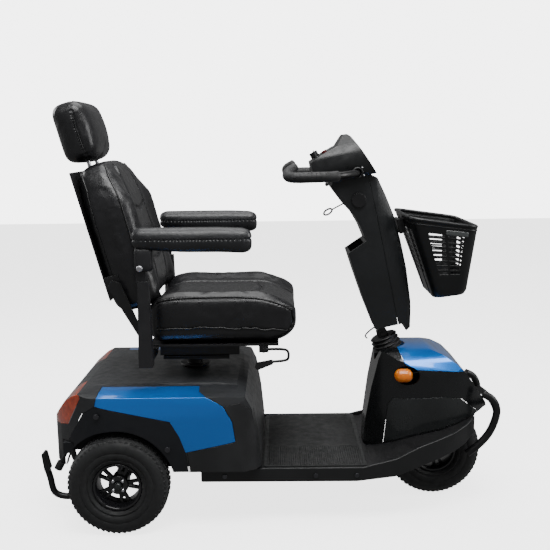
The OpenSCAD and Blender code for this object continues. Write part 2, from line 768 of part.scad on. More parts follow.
module front_fork() {
  color(black) on_steer_axis() difference() {
    union() {
      cylinder_from(stem_d / 2, crown_s + crown_t, tilt_s - 10);
      cylinder_from(head_tube_r - 4, crown_s + crown_t, head_bottom - 4);
      span([-22, -fork_y - leg_t, crown_s], [34, fork_y + leg_t, crown_s + crown_t]);
      both_sides() {
        span([axle_off - 15, fork_y, axle_drop], [axle_off + 15, fork_y + leg_t, crown_s + 1]);
        translate([axle_off, fork_y + leg_t, axle_drop]) rotate([90, 0, 0]) cylinder(r = 19, h = leg_t);
      }
      translate([0, 15, tilt_s]) rotate([90, 0, 0]) cylinder(r = 17, h = 30);
    }
    translate([axle_off, fork_y + 20, axle_drop])
      rotate([90, 0, 0]) cylinder(d = front_axle_d, h = 2 * fork_y + 40);
    translate([0, 20, tilt_s]) rotate([90, 0, 0]) cylinder(r = tilt_pin_d / 2 + run_fit, h = 40);
  }
  color(steel) cross_bar(front_x, axle_z, front_axle_d / 2, -fork_y - leg_t - 8, fork_y + leg_t + 8);
}
module cylinder_from(r, s0, s1) {
  translate([0, 0, s0]) cylinder(r = r, h = s1 - s0);
}

// Rubber boot round the stem: four folds
module gaiter() {
  color(black) on_steer_axis() translate([0, 0, -22]) rotate_extrude() polygon(concat(
    [[36, 0]], [[44, 0]], [for (i = [0 : 3]) each [[48, 6 + 12 * i], [41, 12 + 12 * i]]],
    [[36, 48]]));
  color(steel) on_steer_axis() translate([0, 0, -22]) difference() {
    cylinder(r = 36, h = 6);
    translate([0, 0, -1]) cylinder(d = stem_d, h = 8);
  }
}

// ---- Tiller, in its own leaning frame: x forward, z up from the hinge ----

throttle_d = 10;
// Swivel cap over the charging socket
cap_x = 8;
cap_z = tiller_l - 67;
cap_plug_r = 17.5;
// Pivot of the tilt lock lever in the tiller's frame
lock_x = 24;
lock_z = tiller_l - 57;
lock_pin_d = 5;
tiller_r = tiller_w / 2;
tiller_back = [
  [-22, 24], [-38, 120], [-50, 220], [-56, 281], [6, 306], [-2, 350], [-16, 392], [-38, 430],
  [-66, tiller_l - 10], [-58, tiller_l]];
tiller_front = [
  [60, tiller_l], [78, tiller_l - 14], [92, 430], [106, 360], [112, 280], [113, 190], [104, 90],
  [86, 8], [64, -6], [30, -6]];
tiller_nose = 116;
split_x = 52;

module tiller_solid(inset) {
  intersection() {
    translate([0, tiller_r, 0])
      rotate([90, 0, 0]) linear_extrude(2 * tiller_r) offset(delta = -inset)
        polygon(concat(tiller_back, tiller_front));
    translate([-100, 0, 0]) rotate([90, 0, 90]) linear_extrude(300) offset(delta = -inset)
      polygon(mirrored([[tiller_r - 32, -12], [tiller_r - 26, 60], [tiller_r - 12, 160],
        [tiller_r - 4, 270], [tiller_r - 2, 380], [tiller_r - 10, tiller_l + 1]], 0));
    translate([0, 0, -20]) linear_extrude(tiller_l + 60) offset(delta = -inset)
      polygon(mirrored([[-72, tiller_r], [split_x + 4, tiller_r], [tiller_nose - 16, tiller_r - 28],
        [tiller_nose, tiller_r - 52]], 1));
  }
}
module tiller_shell() {
  difference() {
    tiller_solid(0);
    tiller_solid(shell_t);
    // open foot round the hinge
    span([-100, -46, -20], [72, 46, 34]);
    // slot in the top that the frame comes out of
    span([18 - slide_gap, -20 - slide_gap, tiller_l - 12], [46 + slide_gap, 20 + slide_gap, tiller_l + 5]);
    // mouth of the storage pocket
    side_plate([[-48, 270], [-2, 284], [-2, 320], [-48, 310]], -tiller_r + 12, tiller_r - 12);
    // slot for the tilt lock lever, and the socket for the round cap
    span([-70, -12, lock_z - 27], [0, 12, lock_z + 5]);
    translate([cap_x, -tiller_r - 5, cap_z]) rotate([-90, 0, 0])
      cylinder(r = cap_plug_r + slide_gap, h = 40);
  }
}

module tiller_frame() {
  color(black) on_tiller() {
    difference() {
      span([18, -20, 36], [46, 20, tiller_l]);
      span([17, -9, lock_z - 11], [34, 9, lock_z + 11]);
    }
    cross_bar(lock_x, lock_z, lock_pin_d / 2, -12, 12);
    both_sides() difference() {
      union() {
        span([-9, 15 + slide_gap, 0], [9, 24, 60]);
        span([9, 15 + slide_gap, 38], [20, 24, 60]);
        translate([0, 24, 0]) rotate([90, 0, 0]) cylinder(r = 14, h = 9 - slide_gap);
      }
      translate([0, 30, 0]) rotate([90, 0, 0]) cylinder(d = tilt_pin_d, h = 20);
    }
    // brackets that carry the housings and the basket bracket
    for (z = [tiller_l - 230, tiller_l - 120])
      span([44, -16, z], [90, 16, z + 16]);
  }
  color(steel) on_tiller() translate([0, 28, 0]) rotate([90, 0, 0]) cylinder(d = tilt_pin_d, h = 56);
}

module tiller_rear_cover() {
  color(charcoal) on_tiller() intersection() {
    tiller_shell();
    span([-120, -200, -20], [split_x - panel_gap / 2, 200, tiller_l + 20]);
  }
}

module tiller_front_cover() {
  color(charcoal) on_tiller() intersection() {
    tiller_shell();
    span([split_x + panel_gap / 2, -200, -20], [200, 200, tiller_l + 20]);
  }
}

// Console: a wedge that faces the rider, on top of the tiller
console_side = [
  [-56, tiller_l + 1], [-104, tiller_l + 34], [-111, tiller_l + 46], [-110, tiller_l + 74],
  [-76, tiller_l + 89], [-22, tiller_l + 106], [-6, tiller_l + 124], [4, tiller_l + 134],
  [15, tiller_l + 133], [24, tiller_l + 124], [42, tiller_l + 86], [62, tiller_l + 37],
  [76, tiller_l + 1]];
console_r = console_w / 2;
// Middle of the rider's face, and its slope against the tiller's own axes, in degrees
dash_x = -66;
dash_z = tiller_l + 92;
dash_slope = 18;
knob_at = [-24, 0];
knob_shaft_r = 5;
key_at = [-22, -56];
key_r = 5;
horn_at = [4, -60];
horn_r = 8;
// Lower rear corner and size of the display
display_at = [-2, -40];
display_size = [40, 80];
throttle_x = -64;
throttle_z = tiller_l + 21;
module console_solid(inset) {
  intersection() {
    translate([0, console_r, 0]) rotate([90, 0, 0]) linear_extrude(console_w)
      offset(delta = -inset) polygon(console_side);
    translate([-150, 0, 0]) rotate([90, 0, 90]) linear_extrude(300) offset(delta = -inset)
      polygon(mirrored([[console_r - 24, tiller_l - 4], [console_r - 6, tiller_l + 16],
        [console_r, tiller_l + 44], [console_r - 4, tiller_l + 76], [console_r - 22, tiller_l + 104],
        [console_r - 54, tiller_l + 140]], 0));
  }
}
// Frame of the rider's face of the console: z is the face's normal, y across, x up the slope
module on_dash() {
  on_tiller() translate([dash_x, 0, dash_z]) rotate([0, -dash_slope, 0]) children();
}
module console_housing() {
  color(black) difference() {
    on_tiller() difference() {
      console_solid(0);
      console_solid(shell_t);
      handlebar_path(grip_d + 2 * slide_gap);
      span([18 - slide_gap, -20 - slide_gap, tiller_l - 40], [46 + slide_gap, 20 + slide_gap, tiller_l + 12]);
      cross_bar(throttle_x, throttle_z, throttle_d / 2 + slide_gap, -console_w, console_w);
    }
    on_dash() {
      translate([display_at.x, display_at.y, -8]) cube([display_size.x, display_size.y, 20]);
      translate(knob_at) cylinder(r = knob_shaft_r + slide_gap, h = 40, center = true);
      translate(key_at) cylinder(r = key_r + slide_gap, h = 40, center = true);
      translate(horn_at) cylinder(r = horn_r + slide_gap, h = 40, center = true);
    }
  }
}

module display_panel() {
  color([0.15, 0.17, 0.18]) on_dash()
    translate([display_at.x + slide_gap, display_at.y + slide_gap, -6])
      cube([display_size.x - 2 * slide_gap, display_size.y - 2 * slide_gap, 8]);
}

// The handlebar runs out from the console, round both sides and back towards the rider
bar_r = handlebar_w / 2;
bar_d = 22;
bar_points = [
  [34, 0, tiller_l + 12], [30, 62, tiller_l + 13], [12, 118, tiller_l + 16],
  [-24, bar_r - 63, tiller_l + 21], [-70, bar_r - 31, tiller_l + 28], [-120, bar_r - 18, tiller_l + 38],
  [-160, bar_r - 17, tiller_l + 46], [-184, bar_r - 28, tiller_l + 54], [-181, bar_r - 48, tiller_l + 66],
  [-158, bar_r - 66, tiller_l + 76]];
module handlebar_path(d) {
  right = bend(bar_points, 3);
  whole = concat([for (i = [len(right) - 1 : -1 : 1]) [right[i][0], -right[i][1], right[i][2]]], right);
  tube(whole, d, 12);
}
module handlebar() {
  color(black) on_tiller() difference() {
    handlebar_path(bar_d);
    grip_zone(0);
  }
}
// Region of the grips, behind the bends
module grip_zone(gap) {
  both_sides() span([-260, bar_r - 100, tiller_l - 60], [-62 + gap, bar_r + 40, tiller_l + 120]);
}
module handlebar_grips() {
  color(black) on_tiller() intersection() {
    handlebar_path(grip_d);
    grip_zone(-0.5);
  }
}

bracket_x = 114;
module basket_bracket() {
  color(black) on_tiller() {
    span([bracket_x, -40, 301], [bracket_x + 8, 40, 346]);
    both_sides() span([bracket_x + 8, 26, 301], [bracket_x + 18, 32, 344]);
  }
}

// Wiring that leaves the tiller's foot for the steering head
module tiller_cable() {
  color(black) on_tiller()
    tube(bend([[-4, -30, 34], [-34, -27, 22], [-54, -20, 6], [-50, -14, -6]], 4), 5, 8);
}

module tiller_lock_lever() {
  color(steel) on_tiller() difference() {
    union() {
      rod([lock_x, 0, lock_z], [-86, 0, lock_z - 30], 6);
      translate([-97, 0, lock_z - 33]) rotate([90, 0, 0]) rotate_extrude() translate([12, 0]) circle(r = 4);
      cross_bar(lock_x, lock_z, lock_pin_d / 2 + 3.5, -8, 8);
    }
    cross_bar(lock_x, lock_z, lock_pin_d / 2 + run_fit, -9, 9);
  }
}

module speed_knob() {
  color(black) on_dash() translate(knob_at) {
    translate([0, 0, 0.6]) cylinder(r = 13, h = 17);
    translate([0, 0, -14]) cylinder(r = knob_shaft_r, h = 15);
  }
}

module ignition_key() {
  color(steel) on_dash() translate(key_at) {
    translate([0, 0, -12]) cylinder(r = key_r, h = 15);
    translate([-1.5, -9, 3]) cube([3, 18, 20]);
  }
}

module horn_button() {
  color([0.5, 0.1, 0.08]) on_dash() translate(horn_at) translate([0, 0, -10]) cylinder(r = horn_r, h = 17);
}

// Finger levers beside both ends of the console, on one rocking shaft
module throttle_levers() {
  color(black) on_tiller() {
    cross_bar(throttle_x, throttle_z, throttle_d / 2, -console_r - 20, console_r + 20);
    both_sides() hull() {
      cross_bar(throttle_x, throttle_z, 8, console_r + 6, console_r + 20);
      cross_bar(throttle_x - 16, throttle_z - 16, 5, console_r + 36, console_r + 52);
    }
  }
}

// Swivel cap over the charging socket, on the tiller's right side
module charge_cap() {
  color(charcoal) on_tiller() translate([cap_x, -tiller_r + 2, cap_z]) rotate([90, 0, 0]) {
    cylinder(r = 22, h = 6);
    translate([0, 0, -8]) cylinder(r = cap_plug_r, h = 8);
  }
}

// Basket: tapered tray, open at the top; frame is upright in the rest position
basket_x = tilt_x + 58;
basket_top = tilt_z + 381;
basket_low = basket_top - basket_h;
module basket_wedge(inset, open) {
  x1 = basket_x + basket_l;
  up = open * 60;
  intersection() {
    side_plate([[basket_x - up * 0.36 + inset, basket_top + up],
      [basket_x + 88 + inset, basket_low + inset], [x1 - 18 - inset, basket_low + 14 + inset],
      [x1 + up * 0.08 - inset, basket_top - 28 + up]], -basket_w, basket_w);
    rotate([90, 0, 90]) linear_extrude(2000) polygon(mirrored([
      [basket_w / 2 - 56 - inset, basket_low - 1], [basket_w / 2 - inset + up * 0.23, basket_top + up]], 0));
  }
}
module basket() {
  color(black) {
    difference() {
      basket_wedge(0, 0);
      basket_wedge(basket_t, 1);
    }
    // hook plate that drops behind the bracket's ears
    difference() {
      on_tiller() span([bracket_x + 8 + slide_gap, -24, 302], [180, 24, 340]);
      basket_wedge(0, 1);
    }
  }
}

// ---- Seat ----

module seat_post() {
  color(black) {
    translate([post_x, 0, spine_top + 70]) cylinder(r = post_r, h = post_top - spine_top - 70);
    translate([post_x, 0, post_top - 7]) cylinder(r = 58, h = 7);
    translate([post_x, 0, body_top + 6]) cylinder(r = post_r + 22, h = 5);
  }
}

module seat_swivel_plate() {
  color(black) {
    translate([post_x, 0, plate_z]) cylinder(r = 70, h = 8);
    span([post_x - 80, -rail_y - 20, plate_z + 8], [post_x + 120, rail_y + 20, rail_z]);
    both_sides() {
      span([post_x - 80, rail_y - 18, rail_z], [post_x + 120, rail_y + 18, rail_z + 4]);
      span([post_x - 80, rail_y - 3, rail_z + 4], [post_x + 120, rail_y + 3, rail_z + 16]);
    }
  }
}

module seat_base_frame() {
  front = seat_front - 60;
  rear = seat_rear + 6;
  color(black) {
    span([rear, -seat_r + 24, pan_z], [front, seat_r - 24, pan_z + pan_t]);
    // upper rails straddle the lower ones
    both_sides() for (y = [rail_y - 12, rail_y + 5])
      span([post_x - 90, y, rail_z + 5], [post_x + 150, y + 7, pan_z]);
    // receivers for the arm bars
    both_sides() difference() {
      span([arm_x - receiver / 2, rail_y + 32, pan_z - receiver], [arm_x + receiver / 2, seat_r - 2, pan_z]);
      span([arm_x - receiver / 2 + 3, rail_y + 30, pan_z - receiver + 3],
        [arm_x + receiver / 2 - 3, seat_r, pan_z - 3]);
    }
    // side brackets up to the backrest hinge
    // tab and pin of the swivel lever, and pin of the slide lever
    span([-44, -seat_r + 24, pan_z - 20], [-16, -seat_r + 28, pan_z]);
    cross_bar(-30, cushion_z - 14, 4, -seat_r + 5, -seat_r + 28);
    translate([-70, seat_r - 40, pan_z - 20]) cylinder(r = 4, h = 20);
    both_sides() {
      side_plate([[rear - 4, pan_z - 2], [rear + 34, pan_z - 2], [rear + 2, pan_z + pan_t],
        [rear - 8, cushion_z + 30], [back_x + 16, back_z + 10], [back_x - 8, back_z + 18], [back_x - 22, back_z]],
        back_r + 4, back_r + 9);
      span([rear - 4, seat_r - 60, pan_z - 2], [rear + 30, back_r + 4, pan_z + 3]);
      cross_bar(back_x, back_z, 8, back_r + 2, back_r + 9);
    }
  }
  color(steel) both_sides() cross_bar(back_x, back_z, 5, back_r - 14, back_r + 4);
}

module swivel_lever() {
  y = -seat_r + 15;
  z = cushion_z - 14;
  difference() {
    union() {
      color(steel) tube(bend([[-30, y, z], [20, y, z], [40, y, z - 6], [42, y, z - 26],
        [32, y, z - 34], [-6, y, z - 38]], 4), 8, 10);
      color(black) cross_bar(-30, z, 9, y - 8, y + 8);
    }
    cross_bar(-30, z, 4 + run_fit, y - 9, y + 9);
  }
  color(black) translate([-4, y + 11, z - 38]) rotate([90, -16, 0])
    linear_extrude(22) hull() {
      translate([-4, 0]) circle(r = 5);
      translate([-44, 0]) circle(r = 9);
    }
}

module slide_lever() {
  y = seat_r - 40;
  z = pan_z - 12;
  difference() {
    union() {
      color(steel) rod([-70, y, z], [16, y, z - 4], 8);
      color(black) rod([16, y, z - 4], [44, y, z - 5], 18);
      color(black) translate([-70, y, z - 7]) cylinder(r = 9, h = 14);
    }
    translate([-70, y, z - 8]) cylinder(r = 4 + run_fit, h = 20);
  }
}

// A pillow: rounded outlines in side view and plan intersected
module pillow(size, round_xz, round_xy) {
  intersection() {
    translate([0, size[1] / 2, 0]) rotate([90, 0, 0]) linear_extrude(size[1])
      offset(r = round_xz) offset(delta = -round_xz) square([size[0], size[2]]);
    linear_extrude(size[2]) offset(r = round_xy) offset(delta = -round_xy)
      translate([0, -size[1] / 2]) square([size[0], size[1]]);
    rotate([90, 0, 90]) linear_extrude(size[0])
      offset(r = round_xz) offset(delta = -round_xz)
        translate([-size[1] / 2, 0]) square([size[1], size[2]]);
  }
}

module seat_cushion() {
  color(vinyl) translate([seat_rear, 0, cushion_z]) pillow([seat_l, seat_w, cushion_t], 42, 60);
}

// Backrest frame, in the backrest's leaning frame: x is its front, z runs up it
module backrest_frame() {
  color(black) on_backrest() {
    span([-34, -back_r + 20, -40], [-30, back_r - 20, back_h - 110]);
    both_sides() difference() {
      span([-30, back_r - 24, -34], [14, back_r - 4, 30]);
      translate([0, back_r + 5, 0]) rotate([90, 0, 0]) cylinder(r = 5 + run_fit, h = 60);
    }
    // sleeve for the headrest stem
    difference() {
      span([-52, -24, back_h - 230], [-34, 24, back_h - 112]);
      span([-47 - slide_gap, -18 - slide_gap, back_h - 240], [-39 + slide_gap, 18 + slide_gap, back_h]);
    }
  }
}

module backrest_cushion() {
  color(vinyl) on_backrest() difference() {
    translate([-29, 0, -92]) pillow([138, back_w, back_h], 52, 62);
    // relief in front of the hinges, and behind the top of the seat cushion
    both_sides() span([-40, back_r - 25, -42], [22, back_r + 5, 38]);
    side_plate([[40, -100], [120, -100], [120, 40], [104, 30], [76, -20]], -back_w, back_w);
  }
}

module headrest() {
  z = back_h - 64;
  color(vinyl) on_backrest() translate([-62, 0, z]) pillow([118, headrest_w, 158], 50, 50);
  color(steel) on_backrest() span([-47, -18, back_h - 210], [-39, 18, z + 30]);
}

module arm_post(side) {
  y = side * arm_y;
  color(charcoal) difference() {
    union() {
      translate([arm_x, y, 0]) hull() {
        translate([-20, -17, pan_z - receiver - 8]) cube([40, 34, 1]);
        translate([-15, -13, arm_pivot_z - 40]) cube([30, 26, 1]);
      }
      span([arm_pivot_x - 14, y - 6, arm_pivot_z - 42], [arm_pivot_x + 14, y + 6, arm_pivot_z]);
      cross_bar(arm_pivot_x, arm_pivot_z, 14, y - 6, y + 6);
    }
    cross_bar(arm_pivot_x, arm_pivot_z, 5 + run_fit, y - 20, y + 20);
  }
  color(steel) translate([arm_x, 0, 0])
    span([-arm_bar / 2, min(side * (rail_y + 50), side * (arm_y - 17)), arm_bar_z - arm_bar / 2],
      [arm_bar / 2, max(side * (rail_y + 50), side * (arm_y - 17)), arm_bar_z + arm_bar / 2]);
}
module arm_post_left() arm_post(1);
module arm_post_right() arm_post(-1);

// Arm pad on a hinged carrier that lifts about the post's pivot
module armrest(side) {
  y = side * arm_y;
  w = arm_pad_w / 2;
  rise = 7;
  color(vinyl) translate([arm_pivot_x - 20, y, arm_pivot_z + 16]) rotate([0, -rise, 0])
    intersection() {
      translate([0, w, 0]) rotate([90, 0, 0]) linear_extrude(arm_pad_w)
        offset(r = 22) offset(delta = -22) square([arm_pad_l, 56]);
      linear_extrude(60) offset(r = 24) offset(delta = -24) translate([0, -w]) square([arm_pad_l, 2 * w]);
    }
  color(black) difference() {
    for (s = [-1, 1])
      side_plate([[arm_pivot_x - 12, arm_pivot_z - 8], [arm_pivot_x + 12, arm_pivot_z - 8],
        [arm_pivot_x + 60, arm_pivot_z + 32], [arm_pivot_x - 12, arm_pivot_z + 24]],
        y + s * 9 - 2.5, y + s * 9 + 2.5);
    cross_bar(arm_pivot_x, arm_pivot_z, 5, y - 20, y + 20);
  }
  color(steel) {
    cross_bar(arm_pivot_x, arm_pivot_z, 5, y - 13, y + 13);
    for (s = [-1, 1]) cross_bar(arm_pivot_x, arm_pivot_z, 8, y + s * 13.5 - 2, y + s * 13.5 + 2);
  }
}
module armrest_left() armrest(1);
module armrest_right() armrest(-1);

main_frame();
transaxle();
drive_motor();
batteries();
motor_controller();
rear_top_cover();
rear_side_panels();
wheel_arch_liners();
rear_lower_skirts();
rear_lamps();
anti_tip_arms();
floor_pan();
floor_mat();
side_bumpers();
front_cover();
front_side_panels();
front_hood();
indicator_lenses();
front_bumper();
body_screws();
head_bearings();
drive_release_lever();
rear_rim_left();
rear_tyre_left();
rear_rim_right();
rear_tyre_right();
front_rim();
front_tyre();
front_fork();
gaiter();
tiller_frame();
tiller_rear_cover();
tiller_front_cover();
console_housing();
display_panel();
handlebar();
handlebar_grips();
basket_bracket();
tiller_cable();
tiller_lock_lever();
speed_knob();
ignition_key();
throttle_levers();
horn_button();
charge_cap();
basket();
seat_post();
seat_swivel_plate();
swivel_lever();
seat_base_frame();
slide_lever();
seat_cushion();
backrest_frame();
backrest_cushion();
headrest();
arm_post_left();
arm_post_right();
armrest_left();
armrest_right();
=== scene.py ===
import json
import math

import bmesh
import bpy
import numpy as np
from mathutils import Matrix, Vector
from mathutils.bvhtree import BVHTree


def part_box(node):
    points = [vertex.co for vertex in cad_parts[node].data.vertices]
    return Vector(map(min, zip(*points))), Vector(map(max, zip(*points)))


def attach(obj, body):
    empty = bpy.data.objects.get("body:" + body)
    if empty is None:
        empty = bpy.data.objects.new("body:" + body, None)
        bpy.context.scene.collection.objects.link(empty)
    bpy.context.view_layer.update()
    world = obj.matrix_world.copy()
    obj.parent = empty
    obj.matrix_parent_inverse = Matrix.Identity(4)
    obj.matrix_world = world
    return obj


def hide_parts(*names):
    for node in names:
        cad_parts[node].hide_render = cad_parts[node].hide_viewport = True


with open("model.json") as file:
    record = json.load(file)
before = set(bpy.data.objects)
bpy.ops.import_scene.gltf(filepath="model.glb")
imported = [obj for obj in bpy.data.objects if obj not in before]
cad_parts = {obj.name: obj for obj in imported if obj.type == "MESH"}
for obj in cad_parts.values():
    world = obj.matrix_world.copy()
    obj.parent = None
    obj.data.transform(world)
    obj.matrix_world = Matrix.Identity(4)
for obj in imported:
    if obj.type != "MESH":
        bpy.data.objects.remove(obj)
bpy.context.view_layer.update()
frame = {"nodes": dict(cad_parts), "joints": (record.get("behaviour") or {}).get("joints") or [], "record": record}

record = frame["record"]
nodes = frame["nodes"]
joints = {j["name"]: j for j in frame["joints"]}
slot_of = {s["node"]: s["material_slot"] for s in record["subparts"]}
MM = 0.001


# ---- Camera ----

def make_camera():
    """A camera 2.5 m to the scooter's right, a little above it, looking slightly down."""
    pitch, yaw, roll = 0.1656, 0.0063, -0.0122
    forward = Vector((-math.sin(yaw) * math.cos(pitch), math.cos(yaw) * math.cos(pitch), -math.sin(pitch)))
    right = Vector((math.cos(yaw), math.sin(yaw), 0))
    up = right.cross(forward)
    right_rolled = right * math.cos(roll) + up * math.sin(roll)
    up_rolled = -right * math.sin(roll) + up * math.cos(roll)
    camera = bpy.data.objects.new("camera", bpy.data.cameras.new("camera"))
    camera.data.lens = 52.45
    camera.data.sensor_width = 36
    turn = Matrix((right_rolled, up_rolled, -forward)).transposed().to_4x4()
    turn.translation = Vector((0.0202, -2.4877, 1.1360))
    camera.matrix_world = turn
    bpy.context.scene.collection.objects.link(camera)
    bpy.context.scene.camera = camera


make_camera()


# ---- Materials ----

def new_material(name):
    """A material with its shader node, its node tree and the object's own coordinates."""
    material = bpy.data.materials.new(name)
    material.use_nodes = True
    tree = material.node_tree
    shader = tree.nodes["Principled BSDF"]
    place = tree.nodes.new("ShaderNodeTexCoord").outputs["Object"]
    return material, tree, shader, place


def noise(tree, place, scale, detail=3.0, stretch=None):
    """A noise value over the object, at a scale in cycles a metre."""
    if stretch:
        mapping = tree.nodes.new("ShaderNodeMapping")
        mapping.inputs["Scale"].default_value = stretch
        tree.links.new(place, mapping.inputs["Vector"])
        place = mapping.outputs["Vector"]
    node = tree.nodes.new("ShaderNodeTexNoise")
    node.inputs["Scale"].default_value = scale
    node.inputs["Detail"].default_value = detail
    tree.links.new(place, node.inputs["Vector"])
    return node.outputs["Fac"]


def ramp(tree, value, low, high, start=0.3, end=0.7):
    """Turns a value into a colour between low and high."""
    node = tree.nodes.new("ShaderNodeValToRGB")
    node.color_ramp.elements[0].position = start
    node.color_ramp.elements[1].position = end
    node.color_ramp.elements[0].color = (*low, 1)
    node.color_ramp.elements[1].color = (*high, 1)
    tree.links.new(value, node.inputs["Fac"])
    return node.outputs["Color"]


def bump(tree, shader, height, strength, distance):
    """Adds a bump layer on top of those already on the shader's normal."""
    node = tree.nodes.new("ShaderNodeBump")
    node.inputs["Strength"].default_value = strength
    node.inputs["Distance"].default_value = distance
    tree.links.new(height, node.inputs["Height"])
    if shader.inputs["Normal"].links:
        tree.links.new(shader.inputs["Normal"].links[0].from_socket, node.inputs["Normal"])
    tree.links.new(node.outputs["Normal"], shader.inputs["Normal"])


def shade(colour, factor):
    return tuple(min(1.0, c * factor) for c in colour)


def finish(name, colour, rough, metal=0.0, coat=0.0, grain=0.0, grain_scale=1400.0, wave=0.0,
           spread=0.25, sheen=0.0, stretch=None):
    """A moulded, painted or plated surface: mottled colour, uneven gloss, fine grain and slow waviness."""
    material, tree, shader, place = new_material(name)
    broad = noise(tree, place, 9.0)
    fine = noise(tree, place, grain_scale, 2.0, stretch)
    tree.links.new(ramp(tree, broad, shade(colour, 1 - spread), shade(colour, 1 + spread)),
                   shader.inputs["Base Color"])
    smear = noise(tree, place, 45.0, 5.0)
    level = ramp(tree, smear, (rough * 0.8,) * 3, (min(1, rough * 1.25),) * 3)
    tree.links.new(level, shader.inputs["Roughness"])
    shader.inputs["Metallic"].default_value = metal
    shader.inputs["Coat Weight"].default_value = coat
    shader.inputs["Coat Roughness"].default_value = 0.06
    shader.inputs["Sheen Weight"].default_value = sheen
    if wave:
        bump(tree, shader, noise(tree, place, 22.0, 2.0), wave, 0.002)
    if grain:
        bump(tree, shader, fine, grain, 0.0003)
    return material


def metallic_blue():
    """Blue metallic paint with small flakes under a clear coat."""
    material, tree, shader, place = new_material("metallic_blue")
    flakes = noise(tree, place, 3200.0, 1.0)
    tree.links.new(ramp(tree, flakes, (0.0, 0.11, 0.55), (0.01, 0.27, 0.86), 0.35, 0.65),
                   shader.inputs["Base Color"])
    shader.inputs["Metallic"].default_value = 0.55
    shader.inputs["Roughness"].default_value = 0.28
    shader.inputs["Coat Weight"].default_value = 1.0
    shader.inputs["Coat Roughness"].default_value = 0.04
    bump(tree, shader, flakes, 0.05, 0.0002)
    return material


def vinyl(name, colour, rough):
    """Upholstery vinyl: pebbled leather grain with soft wrinkles."""
    material, tree, shader, place = new_material(name)
    cells = tree.nodes.new("ShaderNodeTexVoronoi")
    cells.feature = "DISTANCE_TO_EDGE"
    cells.inputs["Scale"].default_value = 520.0
    tree.links.new(place, cells.inputs["Vector"])
    broad = noise(tree, place, 14.0, 4.0)
    tree.links.new(ramp(tree, broad, shade(colour, 0.75), shade(colour, 1.35)), shader.inputs["Base Color"])
    tree.links.new(ramp(tree, noise(tree, place, 60.0, 4.0), (rough * 0.75,) * 3, (rough * 1.3,) * 3),
                   shader.inputs["Roughness"])
    shader.inputs["Specular IOR Level"].default_value = 0.55
    shader.inputs["Coat Weight"].default_value = 0.12
    shader.inputs["Coat Roughness"].default_value = 0.25
    bump(tree, shader, noise(tree, place, 26.0, 3.0), 0.35, 0.004)
    bump(tree, shader, cells.outputs["Distance"], 0.25, 0.0006)
    return material


def lens(name, colour, glow):
    """A moulded lamp lens with fine ridges."""
    material, tree, shader, place = new_material(name)
    ridges = tree.nodes.new("ShaderNodeTexWave")
    ridges.bands_direction = "Z"
    ridges.inputs["Scale"].default_value = 90.0
    tree.links.new(place, ridges.inputs["Vector"])
    tree.links.new(ramp(tree, noise(tree, place, 60.0), shade(colour, 0.7), shade(colour, 1.25)),
                   shader.inputs["Base Color"])
    shader.inputs["Roughness"].default_value = 0.12
    shader.inputs["Coat Weight"].default_value = 1.0
    shader.inputs["Subsurface Weight"].default_value = 0.15
    shader.inputs["Emission Color"].default_value = (*colour, 1)
    shader.inputs["Emission Strength"].default_value = glow
    bump(tree, shader, ridges.outputs["Color"], 0.4, 0.001)
    return material


def brushed(name, colour, rough):
    """Plated or ground steel with fine lines."""
    return finish(name, colour, rough, metal=1.0, grain=0.12, grain_scale=300.0, spread=0.12,
                  stretch=(1.0, 1.0, 12.0))


